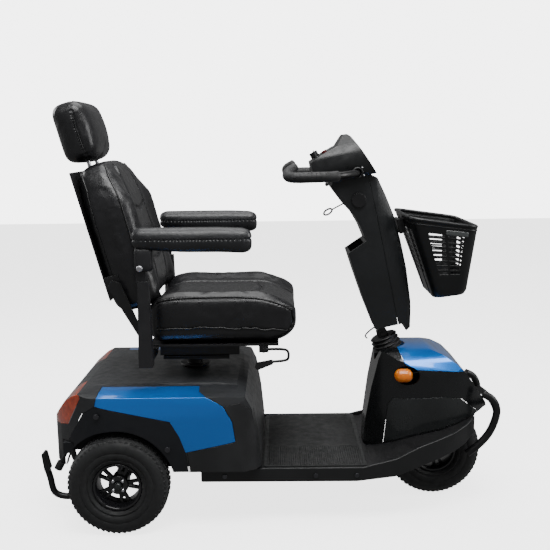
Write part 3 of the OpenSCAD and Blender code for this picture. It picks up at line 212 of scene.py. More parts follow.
MATERIALS = {
    "frame_paint": finish("satin_black_frame", (0.0120, 0.0120, 0.0132), 0.42, grain=0.25),
    "gearbox_cast": finish("cast_alloy", (0.30, 0.30, 0.31), 0.5, metal=0.8, grain=0.6, grain_scale=500.0),
    "motor_paint": finish("motor_black", (0.03, 0.03, 0.033), 0.45, grain=0.2),
    "battery_case": finish("battery_plastic", (0.06, 0.065, 0.075), 0.5, grain=0.3),
    "controller_alloy": finish("anodised_black", (0.12, 0.12, 0.125), 0.4, metal=0.7, grain=0.2),
    "cover_charcoal": finish("charcoal_cover", (0.0255, 0.0270, 0.0292), 0.38, grain=0.55, wave=0.05),
    "panel_blue": metallic_blue(),
    "liner_black": finish("liner_black", (0.0048, 0.0060, 0.0090), 0.5, grain=0.4),
    "panel_grey": finish("grey_skirt", (0.0210, 0.0218, 0.0232), 0.42, grain=0.5),
    "lamp_red": lens("red_lens", (0.42, 0.05, 0.012), 0.05),
    "arm_paint": finish("powder_black_arm", (0.0072, 0.0072, 0.0078), 0.35, grain=0.3),
    "floor_black": finish("floor_tray", (0.0084, 0.0084, 0.0090), 0.45, grain=0.5),
    "mat_rubber": finish("ribbed_rubber", (0.0165, 0.0173, 0.0173), 0.62, grain=0.5, grain_scale=700.0),
    "guard_black": finish("guard_strip", (0.0120, 0.0126, 0.0132), 0.38, grain=0.45, wave=0.06),
    "cover_black": finish("nose_black", (0.0054, 0.0060, 0.0066), 0.26, grain=0.15, wave=0.05, coat=0.2),
    "panel_gloss": finish("dark_metallic_panel", (0.0225, 0.0248, 0.0255), 0.3, metal=0.35, coat=0.5,
                          grain=0.2),
    "lamp_amber": lens("amber_lens", (0.85, 0.20, 0.005), 0.05),
    "screw_steel": brushed("black_zinc_screw", (0.10, 0.10, 0.11), 0.35),
    "bearing_steel": brushed("ground_steel", (0.6, 0.6, 0.62), 0.25),
    "release_steel": finish("black_knob", (0.0180, 0.0180, 0.0192), 0.35, grain=0.1),
    "rim_black": finish("gloss_black_rim", (0.0072, 0.0072, 0.0084), 0.24, coat=0.4, grain=0.08),
    "tyre_black": finish("tyre_rubber", (0.0096, 0.0102, 0.0108), 0.66, grain=0.6, grain_scale=900.0,
                         sheen=0.1),
    "fork_paint": finish("fork_black", (0.0090, 0.0090, 0.0096), 0.4, grain=0.25),
    "gaiter_rubber": finish("gaiter_rubber", (0.0060, 0.0060, 0.0066), 0.45, grain=0.3),
    "tiller_steel": finish("tiller_frame_black", (0.0090, 0.0090, 0.0096), 0.4, grain=0.2),
    "tiller_charcoal": finish("tiller_plastic", (0.0132, 0.0144, 0.0156), 0.36, grain=0.4, wave=0.05),
    "console_black": finish("console_plastic", (0.0084, 0.0090, 0.0096), 0.34, grain=0.4, wave=0.04),
    "display_dark": finish("display_window", (0.02, 0.024, 0.028), 0.1, coat=1.0),
    "bar_paint": finish("bar_black", (0.0072, 0.0072, 0.0078), 0.35, grain=0.2),
    "grip_rubber": finish("soft_grip", (0.0084, 0.0084, 0.0090), 0.55, grain=0.7, grain_scale=900.0,
                          sheen=0.08),
    "cable_black": finish("cable_sheath", (0.0060, 0.0060, 0.0066), 0.45, grain=0.1),
    "lever_chrome": brushed("plated_lever", (0.30, 0.30, 0.31), 0.25),
    "knob_black": finish("knob_plastic", (0.0096, 0.0096, 0.0108), 0.38, grain=0.3),
    "button_red": finish("dark_red_button", (0.09, 0.008, 0.007), 0.3, coat=0.3),
    "basket_plastic": finish("basket_plastic", (0.0060, 0.0066, 0.0072), 0.34, grain=0.3, wave=0.05),
    "seat_steel": finish("seat_frame_black", (0.0084, 0.0084, 0.0090), 0.4, grain=0.25),
    "seat_vinyl": vinyl("black_vinyl", (0.0078, 0.0078, 0.0090), 0.33),
    "post_cover": finish("textured_cover", (0.0144, 0.0144, 0.0162), 0.42, grain=0.7),
    "arm_vinyl": vinyl("charcoal_vinyl", (0.0120, 0.0126, 0.0144), 0.40),
}
PIPING = finish("piping_black", (0.0060, 0.0060, 0.0066), 0.3, grain=0.15)
STITCH = finish("thread_grey", (0.05, 0.05, 0.055), 0.7, grain=0.3)
CHROME = brushed("bright_zinc", (0.62, 0.62, 0.65), 0.22)
REFLECTOR = finish("dark_reflector", (0.05, 0.055, 0.055), 0.18, coat=0.8, spread=0.1)

for name, obj in nodes.items():
    obj.data.materials.clear()
    obj.data.materials.append(MATERIALS[slot_of[name]])


# ---- Mesh helpers ----

def new_piece(name, bm, material, body, stands_for=()):
    """Turns a bmesh in the row frame into a piece that rides on a body."""
    bmesh.ops.recalc_face_normals(bm, faces=bm.faces[:])
    mesh = bpy.data.meshes.new(name)
    bm.to_mesh(mesh)
    bm.free()
    for polygon in mesh.polygons:
        polygon.use_smooth = True
    obj = bpy.data.objects.new(name, mesh)
    bpy.context.scene.collection.objects.link(obj)
    mesh.materials.append(material)
    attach(obj, body)
    if stands_for:
        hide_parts(*stands_for)
    return obj


def add_modifier(obj, kind, **values):
    modifier = obj.modifiers.new(kind.lower(), kind)
    for key, value in values.items():
        setattr(modifier, key, value)
    return modifier


def apply_modifiers(obj):
    """Makes the modified mesh the piece's own mesh."""
    graph = bpy.context.evaluated_depsgraph_get()
    mesh = bpy.data.meshes.new_from_object(obj.evaluated_get(graph))
    obj.modifiers.clear()
    obj.data = mesh
    return obj


def leaning(position, up):
    """The frame of a leaning part: z runs up it, y is the scooter's left and x is forward."""
    z = Vector(up).normalized()
    y = Vector((0, 1, 0))
    x = y.cross(z)
    place = Matrix((x, y, z)).transposed().to_4x4()
    place.translation = Vector(position)
    return place


def local_box(name, place):
    """The lowest and highest corners of a CAD node in a leaning frame."""
    back = place.inverted()
    points = np.array([back @ v.co for v in nodes[name].data.vertices])
    return Vector(points.min(0)), Vector(points.max(0))


def rounded_block(half, radius, cuts):
    """A block with rounded edges and corners, centred on the origin, made of even quads."""
    bm = bmesh.new()
    bmesh.ops.create_cube(bm, size=2)
    bmesh.ops.subdivide_edges(bm, edges=bm.edges[:], cuts=cuts, use_grid_fill=True)
    for v in bm.verts:
        p = Vector(c * h for c, h in zip(v.co, half))
        core = Vector(max(radius - h, min(h - radius, c)) for c, h in zip(p, half))
        away = p - core
        v.co = core + away.normalized() * radius
    return bm


def add_block(bm, block):
    """Adds one bmesh to another."""
    scratch = bpy.data.meshes.new("scratch")
    block.to_mesh(scratch)
    block.free()
    bm.from_mesh(scratch)
    bpy.data.meshes.remove(scratch)


def ring_angles(count):
    """Even angles once round."""
    return [2 * math.pi * k / count for k in range(count)]


def smooth_step(value):
    """Goes from 0 to 1 with no corner at either end."""
    t = max(0.0, min(1.0, value))
    return t * t * (3 - 2 * t)


def smooth_path(points, steps):
    """A Catmull-Rom curve through the points, with that many steps to each span."""
    pts = [Vector(p) for p in points]
    pts = [pts[0] * 2 - pts[1]] + pts + [pts[-1] * 2 - pts[-2]]
    out = []
    for i in range(1, len(pts) - 2):
        a, b, c, d = pts[i - 1:i + 3]
        for k in range(steps):
            t = k / steps
            out.append(0.5 * (2 * b + (c - a) * t + (2 * a - 5 * b + 4 * c - d) * t * t
                              + (3 * b - a - 3 * c + d) * t ** 3))
    out.append(pts[-2])
    return out


def sweep(bm, path, radius, sides=16, closed=False, dome=True):
    """Sweeps a ring along the path; radius is a number or a function of the share of the way along."""
    count = len(path)
    radius_at = radius if callable(radius) else lambda t: radius
    tangents = []
    for i in range(count):
        a = path[(i - 1) % count] if closed else path[max(i - 1, 0)]
        b = path[(i + 1) % count] if closed else path[min(i + 1, count - 1)]
        tangents.append((b - a).normalized())
    side = tangents[0].cross(Vector((0.13, 0.21, 0.97))).normalized()
    rings = []
    for i, p in enumerate(path):
        side = (side - tangents[i] * side.dot(tangents[i])).normalized()
        other = tangents[i].cross(side)
        r = radius_at(i / (count - 1))
        rings.append([bm.verts.new(p + side * (r * math.cos(a)) + other * (r * math.sin(a)))
                      for a in (2 * math.pi * k / sides for k in range(sides))])
    last = count if closed else count - 1
    for i in range(last):
        a, b = rings[i], rings[(i + 1) % count]
        for k in range(sides):
            bm.faces.new((a[k], a[(k + 1) % sides], b[(k + 1) % sides], b[k]))
    if not closed:
        for ring, p, t, r in ((rings[0], path[0], -tangents[0], radius_at(0)),
                              (rings[-1], path[-1], tangents[-1], radius_at(1))):
            tip = bm.verts.new(p + t * (r * 0.5 if dome else 0))
            for k in range(sides):
                bm.faces.new((ring[k], ring[(k + 1) % sides], tip))


def revolve(bm, profile, place, steps=96, closed=True):
    """Turns a profile of (radius, along) points about the place's z axis."""
    rings = []
    for k in range(steps):
        a = 2 * math.pi * k / steps
        rings.append([bm.verts.new(place @ Vector((r * math.cos(a), r * math.sin(a), h)))
                      for r, h in profile])
    count = len(profile)
    for k in range(steps):
        a, b = rings[k], rings[(k + 1) % steps]
        for i in range(count if closed else count - 1):
            j = (i + 1) % count
            bm.faces.new((a[i], a[j], b[j], b[i]))


def box_at(bm, place, low, high):
    """A box between two corners in a frame."""
    corners = [Vector((x, y, z)) for x in (low[0], high[0]) for y in (low[1], high[1])
               for z in (low[2], high[2])]
    v = [bm.verts.new(place @ c) for c in corners]
    for f in ((0, 1, 3, 2), (4, 6, 7, 5), (0, 4, 5, 1), (2, 3, 7, 6), (0, 2, 6, 4), (1, 5, 7, 3)):
        bm.faces.new([v[i] for i in f])


# ---- Soft goods ----

def inflate(obj, cap, frames=16, voxel=0.009):
    """Swells a padded piece as air under its cover would, no point moving further than the cap."""
    add_modifier(obj, "REMESH", mode="VOXEL", voxel_size=voxel)
    apply_modifiers(obj)
    rest = np.array([v.co for v in obj.data.vertices])
    cloth = obj.modifiers.new("cloth", "CLOTH")
    cloth.settings.use_pressure = True
    cloth.settings.uniform_pressure_force = 4.0
    cloth.settings.effector_weights.gravity = 0.0
    cloth.settings.quality = 4
    cloth.point_cache.frame_start = 1
    cloth.point_cache.frame_end = frames
    scene = bpy.context.scene
    for frame_number in range(1, frames + 1):
        scene.frame_set(frame_number)
    graph = bpy.context.evaluated_depsgraph_get()
    moved = np.array([v.co for v in obj.evaluated_get(graph).data.vertices])
    scene.frame_set(1)
    obj.modifiers.clear()
    shift = moved - rest
    length = np.maximum(np.linalg.norm(shift, axis=1), 1e-9)
    shift *= (cap * np.tanh(length / cap) / length)[:, None]
    obj.data.vertices.foreach_set("co", (rest + shift).astype(np.float32).ravel())
    obj.data.update()
    add_modifier(obj, "SUBSURF", levels=1, render_levels=1)
    return apply_modifiers(obj)


def sew(obj, paths, depth, width):
    """Pulls the surface in along each seam."""
    points = np.array([p for path in paths for p in path])
    co = np.array([v.co for v in obj.data.vertices])
    normals = np.array([v.normal for v in obj.data.vertices])
    distance = np.full(len(co), 1.0)
    for start in range(0, len(points), 64):
        block = points[start:start + 64]
        d = np.linalg.norm(co[:, None, :] - block[None], axis=2).min(axis=1)
        distance = np.minimum(distance, d)
    co -= normals * (depth * np.exp(-(distance / width) ** 2))[:, None]
    obj.data.vertices.foreach_set("co", co.astype(np.float32).ravel())
    obj.data.update()


def onto(obj, path, lift=0.0):
    """The path laid on the piece's surface."""
    bm = bmesh.new()
    bm.from_mesh(obj.data)
    tree = BVHTree.FromBMesh(bm)
    bm.free()
    out = []
    for p in path:
        place, normal, _, _ = tree.find_nearest(p)
        out.append(place + normal * lift)
    for _ in range(2):
        out = [out[0]] + [(a + b * 2 + c) / 4 for a, b, c in zip(out, out[1:], out[2:])] + [out[-1]]
    return out


def piping(name, obj, paths, radius, body, closed=False):
    """Piped cord sewn along each path on a soft piece."""
    bm = bmesh.new()
    for path in paths:
        sweep(bm, onto(obj, path, radius * 0.45), radius, 8, closed)
    new_piece(name, bm, PIPING, body)


def stitches(name, obj, paths, body, pitch=0.007, radius=0.0006):
    """Short raised threads along each path."""
    bm = bmesh.new()
    for path in paths:
        line = onto(obj, path, radius * 0.6)
        travelled = 0.0
        for a, b in zip(line, line[1:]):
            travelled += (b - a).length
            if travelled >= pitch:
                travelled = 0.0
                t = (b - a).normalized() * (pitch * 0.32)
                sweep(bm, [a - t, a, a + t], radius, 6)
    new_piece(name, bm, STITCH, body)


def seat_cushion():
    """Cushion with raised side bolsters, a rolled front edge and piped seams."""
    low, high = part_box("seat_cushion")
    half = (high - low) / 2
    middle = (high + low) / 2
    bm = rounded_block((half.x - 0.004, half.y - 0.004, half.z - 0.004), 0.040, 22)
    for v in bm.verts:
        x, y, z = v.co.x / half.x, v.co.y / half.y, v.co.z / half.z
        top = smooth_step((z + 0.2) / 1.2)
        bolster = smooth_step((abs(y) - 0.50) / 0.30)
        v.co.z += top * (0.010 * bolster - 0.012 * (1 - bolster) * (1 - 0.3 * abs(x)))
        v.co.z -= top * 0.030 * smooth_step((x - 0.35) / 0.65) ** 1.5
        v.co.z -= top * 0.012 * smooth_step((-x - 0.55) / 0.45)
        v.co.z += (1 - top) * 0.020 * smooth_step((x - 0.6) / 0.4)
        v.co.y *= 1 - 0.035 * (1 - top) - 0.02 * smooth_step((x - 0.5) / 0.5)
    bm.transform(Matrix.Translation(middle))
    obj = new_piece("seat_cushion_cover", bm, MATERIALS["seat_vinyl"], "seat", ["seat_cushion"])
    inflate(obj, 0.005)
    rear, front = low.x + 0.03, high.x - 0.004
    edge, inner = half.y - 0.020, half.y - 0.128

    def rail(y, drop):
        return smooth_path([(rear, y, high.z - 0.012 - drop), (rear + 0.12, y, high.z - drop),
                            (front - 0.14, y, high.z - 0.002 - drop), (front - 0.04, y, high.z - 0.030),
                            (front, y, middle.z + 0.012), (front - 0.010, y, low.z + 0.035),
                            (front - 0.045, y, low.z + 0.004)], 12)
    outer = [rail(s * edge, 0.0) for s in (-1, 1)]
    grooves = [rail(s * inner, 0.01) for s in (-1, 1)]
    cross = [smooth_path([(front - 0.13, -inner, high.z), (front - 0.105, 0, high.z),
                          (front - 0.13, inner, high.z)], 30)]
    belt = [smooth_path([(rear, s * (half.y - 0.002), low.z + 0.050),
                         (front - 0.12, s * (half.y - 0.002), low.z + 0.046),
                         (front - 0.03, s * (half.y - 0.03), low.z + 0.040)], 30) for s in (-1, 1)]
    sew(obj, [onto(obj, p) for p in grooves + cross], 0.006, 0.007)
    sew(obj, [onto(obj, p) for p in outer + belt], 0.002, 0.004)
    piping("seat_piping", obj, outer + belt, 0.0026, "seat")
    stitches("seat_stitching", obj,
             [[p + Vector((0, s * 0.006, 0)) for p in rail(s * inner, 0.01)] for s in (-1, 1)] + cross,
             "seat")


def backrest():
    """Contoured back cushion with side bolsters, a lumbar roll and piping round its sides."""
    place = leaning(joints["back_fold"]["pos_m"], joints["headrest_height"]["axis"])
    low, high = local_box("backrest_cushion", place)
    half = (high - low) / 2
    middle = (high + low) / 2
    bm = rounded_block((half.x - 0.003, half.y - 0.004, half.z - 0.003), min(0.040, half.x * 0.75), 22)
    for v in bm.verts:
        x, y, z = v.co.x / half.x, v.co.y / half.y, v.co.z / half.z
        front = smooth_step((x + 0.3) / 1.3)
        bolster = smooth_step((abs(y) - 0.52) / 0.3) * (1 - smooth_step((z - 0.35) / 0.6))
        lumbar = math.exp(-((z + 0.45) / 0.35) ** 2)
        v.co.x += front * (0.006 * bolster - 0.014 * (1 - bolster) + 0.010 * lumbar * (1 - bolster))
        v.co.x -= 0.018 * smooth_step((z - 0.3) / 0.7) * front
        v.co.y *= 1 - 0.16 * smooth_step((z - 0.05) / 0.95) ** 1.6
        v.co.z -= 0.020 * (abs(y) ** 3) * smooth_step((z - 0.5) / 0.5)
    bm.transform(place @ Matrix.Translation(middle))
    obj = new_piece("backrest_cover", bm, MATERIALS["seat_vinyl"], "back", ["backrest_cushion"])
    inflate(obj, 0.005)

    def rail(y, x):
        return [place @ p for p in smooth_path([
            (x, y, low.z + 0.02), (x, y, middle.z - 0.05), (x, y * 0.97, middle.z + 0.12),
            (x - 0.004, y * 0.88, high.z - 0.045), (x - 0.012, y * 0.72, high.z - 0.014)], 16)]
    edge = half.y - 0.010
    outer = [rail(s * edge, high.x - 0.026) for s in (-1, 1)]
    rear_edge = [rail(s * edge, low.x + 0.022) for s in (-1, 1)]
    inner = [rail(s * (half.y - 0.120), high.x) for s in (-1, 1)]
    across = [[place @ p for p in smooth_path([
        (high.x, -half.y + 0.12, z), (high.x, 0, z - 0.014), (high.x, half.y - 0.12, z)], 30)]
        for z in (middle.z + 0.07, middle.z - 0.085)]
    sew(obj, [onto(obj, p) for p in inner + across], 0.006, 0.007)
    piping("backrest_piping", obj, outer + rear_edge, 0.0026, "back")
    stitches("backrest_stitching", obj, inner + across, "back")


def headrest():
    """Headrest pad on two stems, with a seam round it."""
    place = leaning(joints["back_fold"]["pos_m"], joints["headrest_height"]["axis"])
    low, high = local_box("headrest", place)
    pad_height = 0.182
    pad_low = Vector((low.x, low.y, high.z - pad_height))
    half = (high - pad_low) / 2
    middle = (high + pad_low) / 2
    bm = rounded_block((half.x - 0.003, half.y - 0.003, half.z - 0.003), min(half.x, half.z) * 0.55, 16)
    for v in bm.verts:
        y, z = v.co.y / half.y, v.co.z / half.z
        v.co.x *= 1 - 0.16 * abs(y) ** 3
        v.co.x -= 0.012 * z * z * (1 if v.co.x > 0 else 0.2)
        v.co.y *= 1 - 0.06 * smooth_step((-z - 0.2) / 0.8)
    bm.transform(place @ Matrix.Translation(middle))
    obj = new_piece("headrest_pad", bm, MATERIALS["seat_vinyl"], "head", ["headrest"])
    inflate(obj, 0.004, voxel=0.007)
    ring = []
    for k in range(73):
        a = 2 * math.pi * k / 72
        across, up = half.y * math.cos(a) * 1.02, half.z * math.sin(a) * 1.02
        ring.append(place @ (middle + Vector((0.012, across, up))))
    sew(obj, [onto(obj, ring)], 0.003, 0.005)
    piping("headrest_piping", obj, [ring[:-1]], 0.0024, "head", closed=True)
    bm = bmesh.new()
    for s in (-1, 1):
        heights = np.linspace(low.z + 0.004, pad_low.z + 0.03, 12)
        path = [place @ Vector((middle.x, s * 0.055, z)) for z in heights]
        sweep(bm, path, 0.006, 16)
    new_piece("headrest_stems", bm, CHROME, "head")


def armrest(side, name):
    """Arm pad in stitched vinyl over a moulded carrier with its pivot bolt."""
    node = "armrest_" + name
    body = "rest_" + name
    low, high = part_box(node)
    thick = 0.070
    half = Vector(((high.x - low.x) / 2, (high.y - low.y) / 2, thick / 2))
    middle = Vector(((high.x + low.x) / 2, (high.y + low.y) / 2, high.z - thick / 2))
    bm = rounded_block((half.x - 0.002, half.y - 0.002, half.z - 0.002), 0.022, 14)
    for v in bm.verts:
        x, y, z = v.co.x / half.x, v.co.y / half.y, v.co.z / half.z
        v.co.z += 0.004 * (1 - y * y) * (1 if z > 0 else 0) - 0.004 * smooth_step((x - 0.4) / 0.6)
        v.co.y *= 1 - 0.10 * smooth_step((-z + 0.1) / 0.9)
        v.co.z += 0.010 * smooth_step((-x - 0.1) / 0.9) * (1 if z < 0 else 0)
    bm.transform(Matrix.Translation(middle))
    obj = new_piece("arm_pad_" + name, bm, MATERIALS["arm_vinyl"], body, [node])
    inflate(obj, 0.003, voxel=0.006)
    seam = []
    for k in range(121):
        a = 2 * math.pi * k / 120
        c, s = math.cos(a), math.sin(a)
        corner = max(abs(c), abs(s))
        seam.append(middle + Vector((half.x * c / corner * 0.999, half.y * s / corner, 0.004)))
    sew(obj, [onto(obj, seam)], 0.003, 0.003)
    stitches("arm_stitching_" + name, obj, [[p + Vector((0, 0, 0.006)) for p in seam]], body,
             0.005, 0.0005)
    bm = rounded_block((0.026, half.y * 0.62, (high.z - thick - low.z) / 2 + 0.010), 0.012, 6)
    bm.transform(Matrix.Translation((low.x + 0.034, middle.y, (high.z - thick + low.z) / 2 + 0.008)))
    pivot = Vector(joints["arm_lift_" + name]["pos_m"])
    new_piece("arm_carrier_" + name, bm, MATERIALS["post_cover"], body)
    bm = bmesh.new()
    turn = Matrix.Translation((pivot.x, middle.y + side * half.y * 0.60, pivot.z)) @ \
        Matrix.Rotation(-side * math.pi / 2, 4, "X")
    revolve(bm, [(0.0, 0.0), (0.009, 0.0), (0.009, 0.003), (0.006, 0.005), (0.0, 0.005)], turn, 24, False)
    new_piece("arm_bolt_" + name, bm, CHROME, body)


seat_cushion()
backrest()
headrest()
armrest(1, "left")
armrest(-1, "right")


# ---- Wheels ----

TREAD_COUNT = 56
# each row of blocks: place across the tyre, half width, and shift along it in block pitches
TREAD_ROWS = ((-0.031, 0.007, 0.0), (-0.014, 0.007, 0.5), (0.0, 0.005, 0.0), (0.014, 0.007, 0.5),
              (0.031, 0.007, 0.0))


def tyre(node, body):
    """Balloon tyre with a ribbed sidewall and five rows of moulded tread blocks."""
    low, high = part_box(node)
    centre = (low + high) / 2
    outer = (high.z - low.z) / 2
    half = (high.y - low.y) / 2
    turn = Matrix.Translation(centre) @ Matrix.Rotation(math.pi / 2, 4, "X")
    inner = outer - 0.077
    profile = [(inner, -half + 0.014), (inner + 0.010, -half + 0.004), (inner + 0.014, -half + 0.007),
               (inner + 0.018, -half + 0.002), (inner + 0.030, -half), (inner + 0.034, -half + 0.0025),
               (inner + 0.038, -half), (outer - 0.026, -half + 0.002), (outer - 0.014, -half + 0.008),
               (outer - 0.0055, -half + 0.020), (outer - 0.0026, -half + 0.034)]
    profile += [(r, -h) for r, h in reversed(profile)]
    bm = bmesh.new()
    revolve(bm, profile, turn, 120)
    for k in range(TREAD_COUNT):
        for row, (along, wide, shift) in enumerate(TREAD_ROWS):
            angle = 2 * math.pi * (k + shift) / TREAD_COUNT
            drop = 0.0 if row in (1, 2, 3) else 0.0085
            tilt = Matrix.Rotation(math.copysign(0.5, along) if drop else 0.0, 4, "Y")
            twist = Matrix.Rotation(math.copysign(0.35, along) if along else 0.0, 4, "X")
            place = turn @ Matrix.Rotation(angle, 4, "Z") @ \
                Matrix.Translation((outer - 0.0045 - drop, 0, along)) @ tilt @ twist
            long = 0.0056 if row != 2 else 0.0068
            box_at(bm, place, (-0.004, -long, -wide), (0.0036, long, wide))
    obj = new_piece(node + "_moulded", bm, MATERIALS["tyre_black"], body, [node])
    add_modifier(obj, "BEVEL", width=0.0012, segments=2, limit_method="ANGLE", angle_limit=math.radians(50))


WHEEL_JOINT = {"rear_rim_left": "rear_wheel_left_spin", "rear_rim_right": "rear_wheel_right_spin",
               "front_rim": "front_wheel_spin"}


def rim_disc(node, body, radius, turn):
    """The rim's well, its hub and five twin spokes."""
    bm = bmesh.new()
    lip = 0.0335
    hub = 0.030
    revolve(bm, [(radius, -lip), (radius, lip), (radius - 0.003, lip + 0.004), (radius - 0.008, lip + 0.003),
                 (radius - 0.012, lip - 0.006), (radius - 0.014, 0.012), (radius - 0.014, -0.020),
                 (radius - 0.009, -lip)], turn, 96)
    revolve(bm, [(0.0085, -lip), (hub - 0.004, -lip), (hub - 0.002, 0.006), (hub, 0.014),
                 (hub - 0.002, 0.022), (0.0085, 0.022)], turn, 64)
    for angle in ring_angles(5):
        for offset in (-0.19, 0.19):
            place = turn @ Matrix.Rotation(angle + offset, 4, "Z")
            box_at(bm, place, (hub - 0.005, -0.0045, 0.002), (radius - 0.010, 0.0045, 0.015))
        place = turn @ Matrix.Rotation(angle, 4, "Z")
        box_at(bm, place, (hub - 0.005, -0.009, 0.003), (hub + 0.012, 0.009, 0.013))
    obj = new_piece(node + "_pressed", bm, MATERIALS["rim_black"], body, [node])
    add_modifier(obj, "BEVEL", width=0.0015, segments=2, limit_method="ANGLE", angle_limit=math.radians(40))


def rim_fittings(node, body, faces):
    """Four wheel nuts and a centre cap on each face."""
    nut = [(0.0, 0.0), (0.0065, 0.0), (0.0065, 0.005), (0.004, 0.008), (0.0, 0.009)]
    cap = [(0.0, 0.036), (0.008, 0.035), (0.0115, 0.031), (0.012, 0.021), (0.0, 0.021)]
    out = Matrix.Translation((0.020, 0, 0.021))
    bm = bmesh.new()
    for face in faces:
        for k in range(4):
            revolve(bm, nut, face @ Matrix.Rotation(math.pi / 4 + k * math.pi / 2, 4, "Z") @ out, 6, False)
    new_piece(node + "_nuts", bm, CHROME, body)
    bm = bmesh.new()
    for face in faces:
        revolve(bm, cap, face, 48, False)
    new_piece(node + "_cap", bm, MATERIALS["panel_gloss"], body)


def rim(node, body, side):
    """Pressed rim with wheel nuts and a centre cap; side is where it faces out."""
    low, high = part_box(node)
    across = joints[WHEEL_JOINT[node]]["pos_m"][1]
    centre = Vector(((low.x + high.x) / 2, across, (low.z + high.z) / 2))
    turn = Matrix.Translation(centre) @ Matrix.Rotation(-side * math.pi / 2, 4, "X")
    rim_disc(node, body, (high.z - low.z) / 2, turn)
    if node == "front_rim":
        rim_fittings(node, body, [turn, turn @ Matrix.Rotation(math.pi, 4, "X")])
        return
    rim_fittings(node, body, [turn])
    bm = bmesh.new()
    reach = abs(centre.y) - 0.050
    revolve(bm, [(0.0, -reach), (0.0083, -reach), (0.0083, 0.020), (0.0, 0.020)], turn, 32, False)
    new_piece(node + "_shaft", bm, MATERIALS["bearing_steel"], body)


for name, side in (("left", 1), ("right", -1)):
    tyre("rear_tyre_" + name, "rear_wheel_" + name)
    rim("rear_rim_" + name, "rear_wheel_" + name, side)
tyre("front_tyre", "front_wheel")
rim("front_rim", "front_wheel", -1)


# ---- Steering ----

def gaiter():
    """Folded rubber boot on the steering head."""
    place = leaning(joints["steer"]["pos_m"], joints["steer"]["axis"])
    low, high = local_box("gaiter", place)
    radius = high.y
    profile = [(0.016, low.z)]
    folds = 4
    pitch = (high.z - low.z) / folds
    for k in range(folds):
        base = low.z + k * pitch
        for share, reach in ((0.0, 0.86), (0.2, 0.90), (0.42, 1.0), (0.58, 1.0), (0.8, 0.90)):
            profile.append((radius * reach * (1 - 0.03 * k), base + share * pitch))
    profile += [(radius * 0.80, high.z), (0.016, high.z)]
    bm = bmesh.new()
    revolve(bm, profile, place, 72, False)
    obj = new_piece("gaiter_folds", bm, MATERIALS["gaiter_rubber"], "steering", ["gaiter"])
    add_modifier(obj, "SUBSURF", levels=1, render_levels=1)


gaiter()


# ---- Tiller ----

TILLER = leaning(joints["tiller_tilt"]["pos_m"], joints["basket_lift_off"]["axis"])


def bar_route(tiller_length, half_width):
    """Points of the handlebar's right half, in the tiller's frame."""
    points = [(34, 0, 12), (30, 62, 13), (12, 118, 16), (-24, half_width - 63, 21),
              (-70, half_width - 31, 28), (-120, half_width - 18, 38), (-160, half_width - 17, 46),
              (-184, half_width - 28, 54), (-181, half_width - 48, 66), (-158, half_width - 66, 76)]
    return [Vector((x, y, z + tiller_length)) * MM for x, y, z in points]


def grip_radius(share, least):
    """A grip's radius at a share of the way along: it swells in its middle."""
    return least + 0.0028 * math.sin(math.pi * min(1.0, 0.25 + share * 0.75))


def grips(half, split):
    """Soft ringed grips on both arms of the bar."""
    bm = bmesh.new()
    for s in (-1, 1):
        line = [TILLER @ Vector((p.x, s * p.y, p.z)) for p in half[split - 3:]]
        sweep(bm, line, lambda t: grip_radius(t, 0.0125), 24)
        for k in range(4, 26, 2):
            if k + 1 < len(line):
                ring = [line[k], line[k] * 0.7 + line[k + 1] * 0.3]
                sweep(bm, ring, grip_radius(k / len(line), 0.0130), 24, dome=False)
    new_piece("handlebar_grip_sleeves", bm, MATERIALS["grip_rubber"], "tiller",
              ["handlebar_grips"])


def bar_clamps():
    """A clamp and two bolts where the bar leaves each side of the console."""
    collar = [(0.0112, -0.004), (0.0165, -0.004), (0.0175, 0.002), (0.0165, 0.012), (0.0112, 0.012)]
    bolt = [(0.0, -0.002), (0.0035, -0.002), (0.0035, 0.009), (0.0, 0.010)]
    bm = bmesh.new()
    nuts = bmesh.new()
    for s in (-1, 1):
        at = Vector((0.018, s * 0.104, 0.516))
        outward = Matrix.Rotation(-s * math.pi / 2, 4, "X")
        revolve(bm, collar, Matrix.Translation(TILLER @ at) @ outward, 32)
        for dz in (-0.0115, 0.0115):
            spot = TILLER @ (at + Vector((0.016, 0, dz)))
            revolve(nuts, bolt, Matrix.Translation(spot) @ outward, 6, False)
    new_piece("bar_clamps", bm, MATERIALS["bar_paint"], "tiller")
    new_piece("bar_clamp_bolts", nuts, MATERIALS["lever_chrome"], "tiller")


def handlebar():
    """Wrap-around bar with soft grips that swell towards their ends, and clamps at its roots."""
    half = smooth_path(bar_route(500, 235), 8)
    whole = [Vector((p.x, -p.y, p.z)) for p in reversed(half[1:])] + half
    split = next(i for i, p in enumerate(half) if p.x < -0.062)
    bm = bmesh.new()
    sweep(bm, [TILLER @ p for p in whole if p.x > -0.066], 0.0108, 20)
    new_piece("handlebar_tube", bm, MATERIALS["bar_paint"], "tiller", ["handlebar"])
    grips(half, split)
    bar_clamps()


handlebar()


def lock_lever():
    """Thin rod with a closed oval loop for a finger."""
    bm = bmesh.new()
    pivot = TILLER.inverted() @ Vector(joints["tiller_lock_pull"]["pos_m"])
    neck = pivot + Vector((-0.100, 0, -0.0275))
    sweep(bm, [TILLER @ (pivot + (neck - pivot) * t) for t in np.linspace(0, 1, 10)], 0.0024, 12)
    loop = []
    for k in range(40):
        a = 2 * math.pi * k / 40
        loop.append(TILLER @ (neck + Vector((-0.0110 - 0.0135 * math.cos(a), 0,
                                             -0.0035 - 0.0075 * math.sin(a) - 0.0036 * math.cos(a)))))
    sweep(bm, loop, 0.0030, 10, closed=True)
    barrel = Matrix.Translation(TILLER @ pivot) @ Matrix.Rotation(math.pi / 2, 4, "X")
    revolve(bm, [(0.0028, -0.008), (0.006, -0.008), (0.006, 0.008), (0.0028, 0.008)], barrel, 24)
    new_piece("lock_lever_rod", bm, MATERIALS["lever_chrome"], "tiller_lock",
              ["tiller_lock_lever"])


lock_lever()


